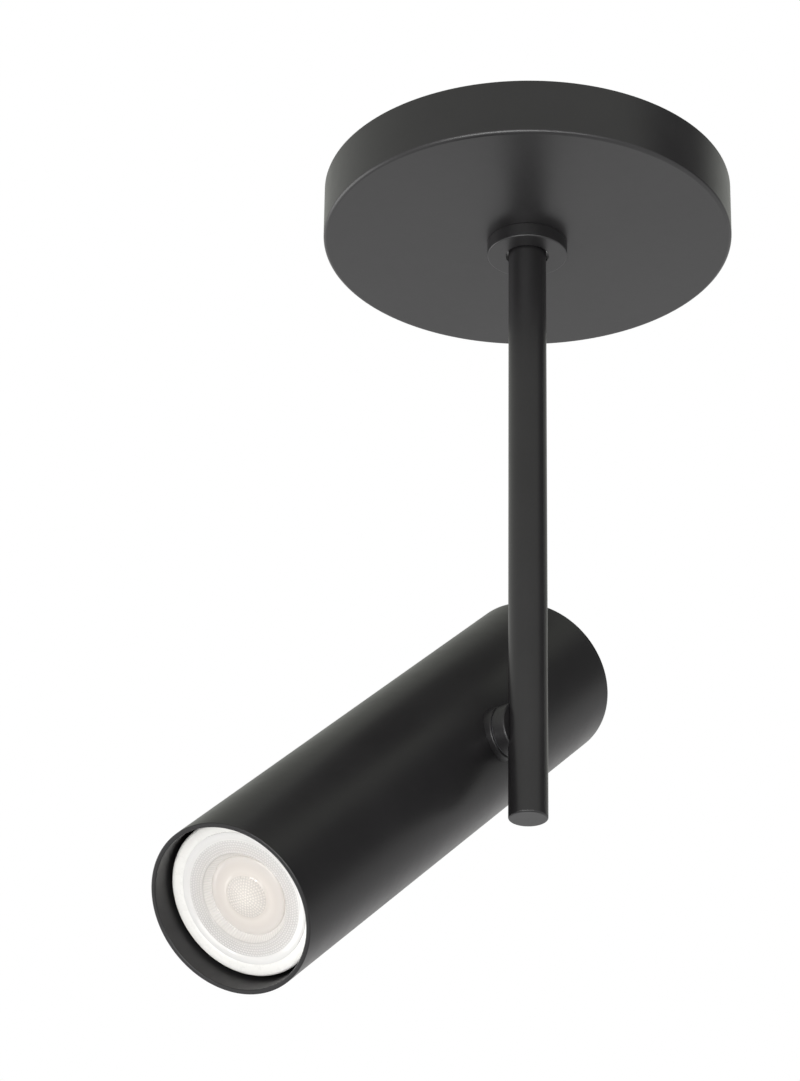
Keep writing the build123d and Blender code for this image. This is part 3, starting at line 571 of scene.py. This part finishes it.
def earth_lead(name):
    """Green insulation with a yellow stripe."""
    made, shader, surface, place = material(name)
    parts = shader.add("ShaderNodeSeparateXYZ")
    shader.feed(parts.inputs[0], place)
    turn = shader.math("ADD", parts.outputs[0], shader.math("MULTIPLY", parts.outputs[1], 0.7))
    bands = shader.math("SINE", shader.math("MULTIPLY", turn, 900.0))
    stripe = shader.spread(bands, 0.35, 0.5, 0.0, 1.0)
    shader.feed(
        surface.inputs["Base Color"],
        shader.blend(stripe, (0.05, 0.24, 0.05, 1), (0.72, 0.60, 0.04, 1)),
    )
    skin = shader.group("coat_grain", Vector=place, Grain=1200.0)
    surface.inputs["Roughness"].default_value = 0.42
    bump(shader, surface, skin["Height"], 0.008 * MM)
    return made


FINISHES = {
    "black_coat_sheet": ("canopy", "canopy_collar"),
    "black_coat_stem": ("stem_tube", "stem_end_plug", "pivot_boss"),
    "black_coat_head": ("tube_saddle", "rear_cap"),
    "zinc_plate": (
        "mounting_bracket", "swivel_housing", "housing_screws", "inner_saddle", "holder_carrier",
        "holder_screws", "pivot_nut", "swivel_stop_pin", "tilt_stop_pin",
    ),
    "oiled_spring": ("swivel_spring", "pivot_spring"),
    "turned_brass": ("stem_top_bush", "terminal_screws", "lamp_contacts", "ground_lug"),
    "green_paint": ("ground_screw",),
    "washer_plastic": ("swivel_washer", "friction_washer"),
    "block_plastic": ("terminal_block",),
    "earth_lead": ("ground_lead",),
    "cable_sheath": ("canopy_cable", "stem_cable", "head_cable"),
    "soft_rubber": ("cable_grommet",),
    "glazed_ceramic": ("lampholder",),
    "lamp_moulding": ("lamp_body",),
    "lens_clear": ("lamp_lens",),
    "board_coat": ("led_board",),
    "bright_pins": ("lamp_pins",),
}
FINISH_OF = {node: finish for finish, nodes in FINISHES.items() for node in nodes}


def coat(piece, finish):
    """Gives a piece one finish."""
    piece.data.materials.clear()
    piece.data.materials.append(bpy.data.materials[finish])


# ======== operators ========


class SPOTLIGHT_OT_finishes(bpy.types.Operator):
    """Make the finishes and give them to the pieces that the frame brings"""

    bl_idname = "spotlight.finishes"
    bl_label = "Finishes"

    def execute(self, context):
        finish = context.scene.spotlight_finish
        for make in (make_coat_grain, make_handling, make_crystals, make_turning_marks):
            make()
        black_coat("black_coat_sheet")
        black_coat("black_coat_stem", grain=1700.0, ior=1.46)
        black_coat("black_coat_head", grain=1700.0, ior=1.42)
        zinc_plate("zinc_plate")
        turned_metal("oiled_spring", (0.42, 0.42, 0.43), 0.32)
        turned_metal("turned_brass", (0.74, 0.56, 0.27))
        turned_metal("bright_pins", (0.72, 0.72, 0.73), 0.22)
        moulded("green_paint", (0.03, 0.26, 0.07), 0.35)
        moulded("washer_plastic", (0.05, 0.05, 0.055), 0.45)
        moulded("block_plastic", (0.78, 0.77, 0.73), 0.38)
        moulded("cable_sheath", (0.60, 0.59, 0.57), 0.5)
        moulded("soft_rubber", (0.03, 0.03, 0.03), 0.62)
        moulded("glazed_ceramic", (0.82, 0.80, 0.76), 0.32, grain=700.0, depth=0.02, speckle=0.2)
        moulded("lamp_moulding", tuple(finish.lamp_white), 0.3, grain=500.0, depth=0.004)
        moulded("board_coat", (0.86, 0.84, 0.78), 0.35)
        moulded("phosphor", (0.93, 0.74, 0.40), 0.5, grain=1500.0, depth=0.02)
        lens_clear("lens_clear")
        earth_lead("earth_lead")
        for name, nodes in FINISHES.items():
            for node in nodes:
                coat(frame["nodes"][node], name)
        return {"FINISHED"}


class SPOTLIGHT_OT_canopy(bpy.types.Operator):
    """Turn the canopy: a shallow cup with a rounded lower edge"""

    bl_idname = "spotlight.canopy"
    bl_label = "Canopy"

    def execute(self, context):
        shape = context.scene.spotlight_shape
        bottom, top, hole, radius = CANOPY
        floor = bottom + shape.canopy_wall
        inside = radius - shape.canopy_wall
        rim = 0.3 * MM
        inner_corner = 0.8 * MM
        hole_edge = 0.2 * MM
        steps = 192
        profile = (
            (hole, bottom), (radius, bottom), (radius, top), (inside, top),
            (inside, floor), (hole, floor),
        )
        roundings = (
            (1, shape.canopy_edge, 8), (2, rim, 3), (3, rim, 3),
            (4, inner_corner, 4), (0, hole_edge, 2),
        )
        canopy = finished("canopy_shell", turned(profile, roundings, steps), "mount")
        coat(canopy, "black_coat_sheet")
        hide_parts("canopy")
        return {"FINISHED"}


class SPOTLIGHT_OT_collar(bpy.types.Operator):
    """Turn the collar under the canopy: a plain ring with a seat for the housing"""

    bl_idname = "spotlight.collar"
    bl_label = "Collar"

    def execute(self, context):
        shape = context.scene.spotlight_shape
        bottom, top, hole, radius = COLLAR
        seat = shape.collar_seat
        shoulder = top - shape.collar_seat_depth
        profile = (
            (hole, bottom), (radius, bottom), (radius, top), (seat, top), (seat, shoulder),
            (hole, shoulder),
        )
        roundings = ((1, shape.collar_edge, 5), (0, 0.15 * MM, 2), (2, 0.2 * MM, 2))
        collar = finished("collar_ring", turned(profile, roundings), "mount")
        coat(collar, "black_coat_sheet")
        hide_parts("canopy_collar")
        return {"FINISHED"}


class SPOTLIGHT_OT_pivot(bpy.types.Operator):
    """Ease the edges of the two halves of the pivot, and of what is between and behind them"""

    bl_idname = "spotlight.pivot"
    bl_label = "Pivot"

    def execute(self, context):
        for node, width in (
            ("pivot_boss", 0.1), ("tube_saddle", 0.05), ("friction_washer", 0.05),
            ("inner_saddle", 0.15), ("pivot_nut", 0.25), ("tilt_stop_pin", 0.15),
        ):
            eased(node, width * MM)
        return {"FINISHED"}


class SPOTLIGHT_OT_ceiling_fittings(bpy.types.Operator):
    """Ease the edges of the bracket, housing, terminal block and screws inside the canopy"""

    bl_idname = "spotlight.ceiling_fittings"
    bl_label = "Ceiling fittings"

    def execute(self, context):
        for node, width in (
            ("mounting_bracket", 0.25), ("swivel_housing", 0.2), ("housing_screws", 0.12),
            ("swivel_washer", 0.1), ("terminal_block", 0.3), ("terminal_screws", 0.12),
            ("ground_screw", 0.15), ("ground_lug", 0.1), ("stem_top_bush", 0.12),
        ):
            eased(node, width * MM)
        return {"FINISHED"}


class SPOTLIGHT_OT_head_fittings(bpy.types.Operator):
    """Ease the edges of the carrier, lampholder, contacts, pins and screws inside the head"""

    bl_idname = "spotlight.head_fittings"
    bl_label = "Head fittings"

    def execute(self, context):
        for node, width in (
            ("holder_carrier", 0.2), ("lampholder", 0.35), ("holder_screws", 0.12),
            ("lamp_contacts", 0.08), ("cable_grommet", 0.2), ("lamp_pins", 0.15),
        ):
            eased(node, width * MM)
        return {"FINISHED"}


class SPOTLIGHT_OT_head(bpy.types.Operator):
    """Turn the head's long tube, with its rims rounded"""

    bl_idname = "spotlight.head"
    bl_label = "Head tube"

    def execute(self, context):
        shape = context.scene.spotlight_shape
        back, front, _, radius = TUBE
        bore = radius - shape.tube_wall
        profile = ((bore, back), (radius, back), (radius, front), (bore, front))
        roundings = [(corner, shape.tube_edge, 4) for corner in range(4)]
        tube = finished(
            "head_sleeve", placed(turned(profile, roundings), HEAD_PLACE), "head"
        )
        coat(tube, "black_coat_head")
        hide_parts("head_tube")
        self.add_cap(shape)
        return {"FINISHED"}

    def add_cap(self, shape):
        back, front, _, radius = CAP
        skirt = 1.5 * MM  # thickness of the cap's wall, inside the tube
        bore = radius - skirt
        plate = back + shape.cap_wall
        profile = (
            (0, back), (radius, back), (radius, front), (bore, front), (bore, plate), (0, plate),
        )
        roundings = ((1, shape.cap_edge, 4), (4, 0.8 * MM, 3), (2, 0.2 * MM, 2), (3, 0.2 * MM, 2))
        cap = finished(
            "rear_disc", placed(turned(profile, roundings), HEAD_PLACE), "head"
        )
        coat(cap, "black_coat_head")
        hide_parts("rear_cap")


def arc_points(start, end, rise, count):
    """Points on a shallow arc from start to end, bulging by rise to the left of its run."""
    start, end = Vector(start), Vector(end)
    run = end - start
    side = Vector((-run.y, run.x)).normalized()
    return [
        tuple(start + run * step + side * rise * 4 * step * (1 - step))
        for step in (number / count for number in range(count + 1))
    ]


def span(first, last, pitch):
    """Evenly spaced numbers from first to last, about a pitch apart."""
    count = max(1, round(abs(last - first) / pitch))
    return [first + (last - first) * number / count for number in range(count + 1)]


class Lens:
    """Places on the clear lens, in metres along the head's axis and out from it."""

    edge = LENS.outer
    front = LENS.end
    foot = LENS.start
    plate = 1.6 * MM
    step = 19.2 * MM  # a fine ring outside the beads
    step_height = 0.12 * MM
    bead_start = 14.8 * MM
    bead_pitch = 0.80 * MM
    bead_end = 18.8 * MM
    beads_round = 120
    well = 14.5 * MM
    well_edge = 0.35 * MM
    well_floor = 12.9 * MM
    well_depth = 2.7 * MM
    cushion = 12.7 * MM
    cushion_top = 10.6 * MM
    cushion_height = 0.75 * MM
    dome = 6.8 * MM
    dome_foot = 0.35 * MM
    dome_step = 0.3 * MM
    dome_height = 0.7 * MM
    dome_pitch = 0.90 * MM
    flutes = 96  # round the wall of the well
    flute_depth = 0.10 * MM
    cone = 17.0 * MM
    cone_bulge = 0.9 * MM
    foot_radius = 9.5 * MM
    eye = 6.2 * MM
    eye_depth = 3.0 * MM
    step_run = 0.08 * MM
    edge_run = 0.3 * MM
    skin = 0.01 * MM  # what lies deeper than this under the front isn't the front
    plain_shade_level = 0.8  # painted shade where there are no beads or flutes, from 0 darkest to 1 none
    # painted shade on the flutes: darker in their grooves, none on their crests
    flute_shade_level = 0.85
    flute_shade_swing = 0.15
    brink_shade_level = 0.2  # painted dark line of shade at the brink of the well


class Moulding:
    """Sizes of the lamp's moulded body, in metres."""

    neck = 13.5 * MM
    neck_length = 14 * MM
    bowl_bulge = 1.8 * MM
    bowl_inset = 1 * MM  # from the band's radius to where the bowl ends
    bowl_end = 3.4 * MM  # behind the face, as the band's foot
    band_foot = 2.4 * MM
    face_width = 1.3 * MM
    lens_gap = 0.02 * MM
    slope = 0.5 * MM  # how far the face's inner slope stands out from the lens
    slope_top = 0.1 * MM  # above the lens's front
    slope_foot = 0.15 * MM  # below the lens's front
    ledge = 1.5 * MM  # under the lens's edge
    board_gap = 0.2 * MM


def bead(place, around, number):
    """Height, from 0 to 1, of a round bead: place is 0 to 1 across its ring."""
    stagger = pi * (number % 2)
    return sin(pi * place) ** 2 * (0.5 + 0.5 * cos(around + stagger))


def lens_front(radius):
    """Height of the lens's front, without its beads, at a radius."""
    floor = Lens.front - Lens.well_depth
    if radius <= Lens.dome:
        rise = Lens.dome_height * (1 - (radius / Lens.dome) ** 2)
        return floor + Lens.cushion_height + Lens.dome_step + rise
    if radius <= Lens.dome + Lens.dome_foot:
        share = (radius - Lens.dome) / Lens.dome_foot
        return floor + Lens.cushion_height + Lens.dome_step * (1 - share)
    if radius <= Lens.cushion_top:
        return floor + Lens.cushion_height
    if radius <= Lens.cushion:
        share = (radius - Lens.cushion_top) / (Lens.cushion - Lens.cushion_top)
        return floor + Lens.cushion_height * max(0.0, 1 - share ** 2) ** 0.5
    if radius <= Lens.well_floor:
        return floor
    if radius < Lens.well:
        share = (radius - Lens.well_floor) / (Lens.well - Lens.well_floor)
        return floor + (Lens.well_depth - Lens.well_edge) * share
    if radius < Lens.well + Lens.well_edge:
        share = (radius - Lens.well) / Lens.well_edge
        return Lens.front - Lens.well_edge * (1 - share) ** 2
    if radius > Lens.step:
        return Lens.front
    return Lens.front - Lens.step_height


class SPOTLIGHT_OT_lamp(bpy.types.Operator):
    """Turn the reflector lamp: its white body, the beaded clear lens and the light board"""

    bl_idname = "spotlight.lamp"
    bl_label = "Lamp"

    def execute(self, context):
        self.add_body()
        self.add_lens(context.scene.spotlight_shape.lens_bead)
        self.add_board()
        return {"FINISHED"}

    def add_body(self):
        base, face, _, radius = LAMP
        seat = Lens.front - Lens.plate
        floor = BOARD.start
        neck = Moulding.neck
        lens = Lens.edge + Moulding.lens_gap
        bowl = arc_points(
            (neck, base + Moulding.neck_length),
            (radius - Moulding.bowl_inset, face - Moulding.bowl_end),
            -Moulding.bowl_bulge, 10,
        )
        profile = [
            (0, base), (neck, base), *bowl,
            (radius, face - Moulding.band_foot), (radius, face),
            (radius - Moulding.face_width, face),
            (lens + Moulding.slope, Lens.front + Moulding.slope_top),
            (lens, Lens.front - Moulding.slope_foot), (lens, seat),
            (Lens.edge - Moulding.ledge, seat),
            (BOARD.outer + Moulding.board_gap, floor), (0, floor),
        ]
        outer, inner = len(bowl) + 3, len(bowl) + 4
        roundings = ((outer, 0.8 * MM, 6), (inner, 0.6 * MM, 4), (inner + 1, 0.25 * MM, 3))
        body = finished(
            "lamp_housing", placed(turned(profile, roundings), HEAD_PLACE), "lamp"
        )
        coat(body, "lamp_moulding")
        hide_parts("lamp_body")

    def add_lens(self, bead_size):
        stops = (
            span(0, Lens.dome, Lens.dome_pitch / 4)
            + span(Lens.dome + Lens.dome_foot, Lens.cushion_top, MM)
            + [
                Lens.cushion_top + (Lens.cushion - Lens.cushion_top) * sin(pi / 2 * number / 8)
                for number in range(1, 9)
            ]
            + span(Lens.well_floor, Lens.well, 0.2 * MM)
            + span(Lens.well, Lens.well + Lens.well_edge, 0.1 * MM)[1:]
            + span(Lens.well + Lens.well_edge, Lens.bead_end, Lens.bead_pitch / 5)[1:]
            + [Lens.step, Lens.step + Lens.step_run, Lens.edge - Lens.edge_run, Lens.edge]
        )
        seat = Lens.front - Lens.plate
        cone = arc_points((Lens.cone, seat), (Lens.foot_radius, Lens.foot), Lens.cone_bulge, 8)
        profile = [
            *((radius, lens_front(radius)) for radius in stops),
            (Lens.edge, seat), *cone, (Lens.eye, Lens.foot),
            (Lens.eye, Lens.foot + Lens.eye_depth), (0, Lens.foot + Lens.eye_depth),
        ]
        bm = turned(profile, steps=4 * Lens.beads_round)
        moulding = bm.verts.layers.float.new("moulding")  # 0 at a bead's foot, 1 on its top; it lifts the beads and masks the painted shade
        for vertex in bm.verts:
            vertex[moulding] = Lens.plain_shade_level
            radius = vertex.co.xy.length
            if vertex.co.z < lens_front(radius) - Lens.skin:
                continue
            angle = atan2(vertex.co.y, vertex.co.x)
            if Lens.bead_start <= radius <= Lens.bead_end:
                number, place = divmod((radius - Lens.bead_start) / Lens.bead_pitch, 1)
                vertex[moulding] = bead(place, Lens.beads_round * angle, number)
                vertex.co.z += bead_size * vertex[moulding]
            elif radius < Lens.dome - 0.1 * MM:
                number, place = divmod(radius / Lens.dome_pitch + 0.5, 1)
                vertex[moulding] = bead(place, 6 * number * angle, 0)
                vertex.co.z += bead_size * vertex[moulding]
            # the flutes are cut into the wall, with painted shade in their grooves
            elif Lens.well_floor < radius < Lens.well:
                fluting = cos(Lens.flutes * angle)
                vertex[moulding] = Lens.flute_shade_level + Lens.flute_shade_swing * fluting
                vertex.co.xy *= 1 + Lens.flute_depth * fluting / radius
            # a dark line of painted shade at the well's brink
            elif Lens.well <= radius < Lens.well + 0.5 * Lens.well_edge:
                vertex[moulding] = Lens.brink_shade_level
        lens = finished("front_lens", placed(bm, HEAD_PLACE), "lamp", 60.0)
        coat(lens, "lens_clear")
        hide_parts("lamp_lens")

    def add_board(self):
        bottom, top, _, radius = BOARD
        thickness = 1.6 * MM
        edge = 0.15 * MM
        chip = 5.5 * MM
        chip_height = 0.3 * MM
        chip_bulge = 0.1 * MM
        plate = bottom + thickness
        profile = ((0, bottom), (radius, bottom), (radius, plate), (0, plate))
        disc = turned(profile, ((2, edge, 2),))
        board = finished("light_board", placed(disc, HEAD_PLACE), "lamp")
        coat(board, "board_coat")
        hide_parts("led_board")
        dome = arc_points((chip, plate + chip_height), (0, top), chip_bulge, 6)
        drop = turned([(0, plate), (chip, plate), *dome])
        glow = finished("light_source", placed(drop, HEAD_PLACE), "lamp")
        coat(glow, "phosphor")


class SPOTLIGHT_OT_studio(bpy.types.Operator):
    """Set up the pale floor, the soft light and the camera"""

    bl_idname = "spotlight.studio"
    bl_label = "Studio"

    def execute(self, context):
        studio = context.scene.spotlight_studio
        self.add_floor(studio)
        self.add_surroundings(context.scene)
        self.add_lamps()
        self.add_camera(context.scene, studio)
        context.scene.view_settings.view_transform = "Standard"
        return {"FINISHED"}

    def add_floor(self, studio):
        bm = bmesh.new()
        bmesh.ops.create_grid(bm, x_segments=2, y_segments=2, size=FLOOR_REACH)
        bmesh.ops.translate(bm, vec=(0, 0, -studio.floor_drop), verts=bm.verts)
        mesh = bpy.data.meshes.new("floor")
        bm.to_mesh(mesh)
        bm.free()
        floor = bpy.data.objects.new("floor", mesh)
        bpy.context.scene.collection.objects.link(floor)
        made = bpy.data.materials.new("pale_floor")
        made.use_nodes = True
        shader = Shader(made.node_tree)
        surface = shader.nodes["Principled BSDF"]
        place = shader.add("ShaderNodeTexCoord").outputs["Object"]
        tone = shader.spread(shader.noise(place, 3.0, 3.0, 0.5), 0.3, 0.7, 0.0, 1.0)
        shader.feed(
            surface.inputs["Base Color"],
            shader.blend(tone, (0.86, 0.86, 0.86, 1), (0.88, 0.88, 0.88, 1)),
        )
        surface.inputs["Roughness"].default_value = 0.8
        glow = shader.add("ShaderNodeEmission")
        rays = shader.add("ShaderNodeLightPath").outputs
        seen = shader.math("MAXIMUM", rays["Is Camera Ray"], rays["Is Glossy Ray"])
        seen = shader.math("MAXIMUM", seen, rays["Is Transmission Ray"])
        middle = Vector((*SHADED_FLOOR, -studio.floor_drop))
        gap = shader.vector("LENGTH", shader.vector("SUBTRACT", place, middle))
        dimmed = shader.spread(gap, *SHADED_REACH, SHADED_SHARE, 0.0)
        shade = shader.math("MULTIPLY", rays["Is Glossy Ray"], dimmed)
        shader.feed(glow.inputs["Color"], shader.blend(shade, (1, 1, 1, 1), (0.05, 0.05, 0.05, 1)))
        mix = shader.add("ShaderNodeMixShader")
        shader.feed(mix.inputs[0], shader.math("MULTIPLY", seen, FLOOR_GLOW))
        shader.feed(mix.inputs[1], surface.outputs[0])
        shader.feed(mix.inputs[2], glow.outputs[0])
        shader.feed(shader.nodes["Material Output"].inputs["Surface"], mix.outputs[0])
        mesh.materials.append(made)

    def add_surroundings(self, scene):
        """White where the camera looks past the piece, and an uneven room for what is mirrored."""
        world = bpy.data.worlds.new("studio")
        world.use_nodes = True
        scene.world = world
        shader = Shader(world.node_tree)
        rays = shader.add("ShaderNodeLightPath").outputs
        direction = shader.add("ShaderNodeTexCoord").outputs["Generated"]
        height = shader.add("ShaderNodeSeparateXYZ")
        shader.feed(height.inputs[0], direction)
        room = shader.ramp(shader.spread(height.outputs[2], -1.0, 1.0, 0.0, 1.0), ROOM_TONES)
        for toward, first, last, share in DARK_PARTS:
            near = shader.vector("DOT_PRODUCT", direction, Vector(toward).normalized())
            dimmed = shader.spread(near, first, last, 0.0, share)
            room = shader.blend(dimmed, room, (0.04, 0.04, 0.045, 1))
        mirrored = shader.math("MAXIMUM", rays["Is Glossy Ray"], rays["Is Transmission Ray"])
        unseen = shader.blend(mirrored, (0.95, 0.95, 0.95, 1), room)
        surroundings = shader.nodes["Background"]
        shader.feed(
            surroundings.inputs["Color"], shader.blend(rays["Is Camera Ray"], unseen, (1, 1, 1, 1))
        )

    def add_lamps(self):
        """Soft panels in front and on the left, and a strip that is only mirrored, by the edges."""
        panels = {  # place, size, power, and whether it also lights what doesn't mirror it
            "front_panel": ((0.6, -1.6, -1.0), (1.4, 1.4), 17.0, True),
            "left_panel": ((-1.6, -0.6, -0.5), (1.2, 1.2), 11.0, True),
            "edge_strip": ((0.80, -1.38, -0.71), (2.6, 0.12), 20.0, False),
        }
        target = Vector((0, 0, -0.15))
        for name, (place, size, power, lights_all) in panels.items():
            light = bpy.data.lights.new(name, "AREA")
            light.shape = "RECTANGLE"
            light.size, light.size_y = size
            light.energy = power
            lamp = bpy.data.objects.new(name, light)
            lamp.location = place
            lamp.rotation_euler = (target - Vector(place)).to_track_quat("-Z", "Y").to_euler()
            lamp.visible_diffuse = lights_all
            bpy.context.scene.collection.objects.link(lamp)

    def add_camera(self, scene, studio):
        pitch, yaw = studio.camera_pitch, studio.camera_yaw
        ahead = Vector((sin(yaw) * cos(pitch), cos(yaw) * cos(pitch), sin(pitch)))
        right = Vector((cos(yaw), -sin(yaw), 0))
        above = right.cross(ahead)
        roll = studio.camera_roll
        axes = (
            right * cos(roll) + above * sin(roll),
            above * cos(roll) - right * sin(roll),
            -ahead,
        )
        facing = Matrix(axes).transposed().to_4x4()
        round_stem = Matrix.Rotation(studio.camera_turn, 4, "Z")
        stand = Matrix.Translation((0, -studio.camera_reach, -studio.camera_drop))
        data = bpy.data.cameras.new("camera")
        data.lens = studio.camera_lens
        data.sensor_width = 36.0
        camera = bpy.data.objects.new("camera", data)
        camera.matrix_world = round_stem @ stand @ facing
        scene.collection.objects.link(camera)
        scene.camera = camera


OPERATORS = (
    SPOTLIGHT_OT_finishes,
    SPOTLIGHT_OT_canopy,
    SPOTLIGHT_OT_collar,
    SPOTLIGHT_OT_ceiling_fittings,
    SPOTLIGHT_OT_pivot,
    SPOTLIGHT_OT_head,
    SPOTLIGHT_OT_head_fittings,
    SPOTLIGHT_OT_lamp,
    SPOTLIGHT_OT_studio,
)


class SPOTLIGHT_PT_panel(bpy.types.Panel):
    """The spotlight's pieces and sizes in the sidebar"""

    bl_label = "Ceiling Spotlight"
    bl_idname = "SPOTLIGHT_PT_panel"
    bl_space_type = "VIEW_3D"
    bl_region_type = "UI"
    bl_category = "Spotlight"

    def draw(self, context):
        for group in (
            context.scene.spotlight_shape,
            context.scene.spotlight_finish,
            context.scene.spotlight_studio,
        ):
            box = self.layout.box()
            for key in group.__annotations__:
                box.prop(group, key)
        for operator in OPERATORS:
            self.layout.operator(operator.bl_idname)


GROUPS = {
    "spotlight_shape": SpotlightShape,
    "spotlight_finish": SpotlightFinish,
    "spotlight_studio": SpotlightStudio,
}


def register():
    for group in GROUPS.values():
        bpy.utils.register_class(group)
    for operator in OPERATORS:
        bpy.utils.register_class(operator)
    bpy.utils.register_class(SPOTLIGHT_PT_panel)
    for name, group in GROUPS.items():
        setattr(bpy.types.Scene, name, PointerProperty(type=group))


def unregister():
    for name in GROUPS:
        delattr(bpy.types.Scene, name)
    bpy.utils.unregister_class(SPOTLIGHT_PT_panel)
    for operator in reversed(OPERATORS):
        bpy.utils.unregister_class(operator)
    for group in reversed(GROUPS.values()):
        bpy.utils.unregister_class(group)


def main():
    register()
    bpy.ops.spotlight.finishes()
    bpy.ops.spotlight.canopy()
    bpy.ops.spotlight.collar()
    bpy.ops.spotlight.ceiling_fittings()
    bpy.ops.spotlight.pivot()
    bpy.ops.spotlight.head()
    bpy.ops.spotlight.head_fittings()
    bpy.ops.spotlight.lamp()
    bpy.ops.spotlight.studio()


if __name__ == "__main__":
    main()
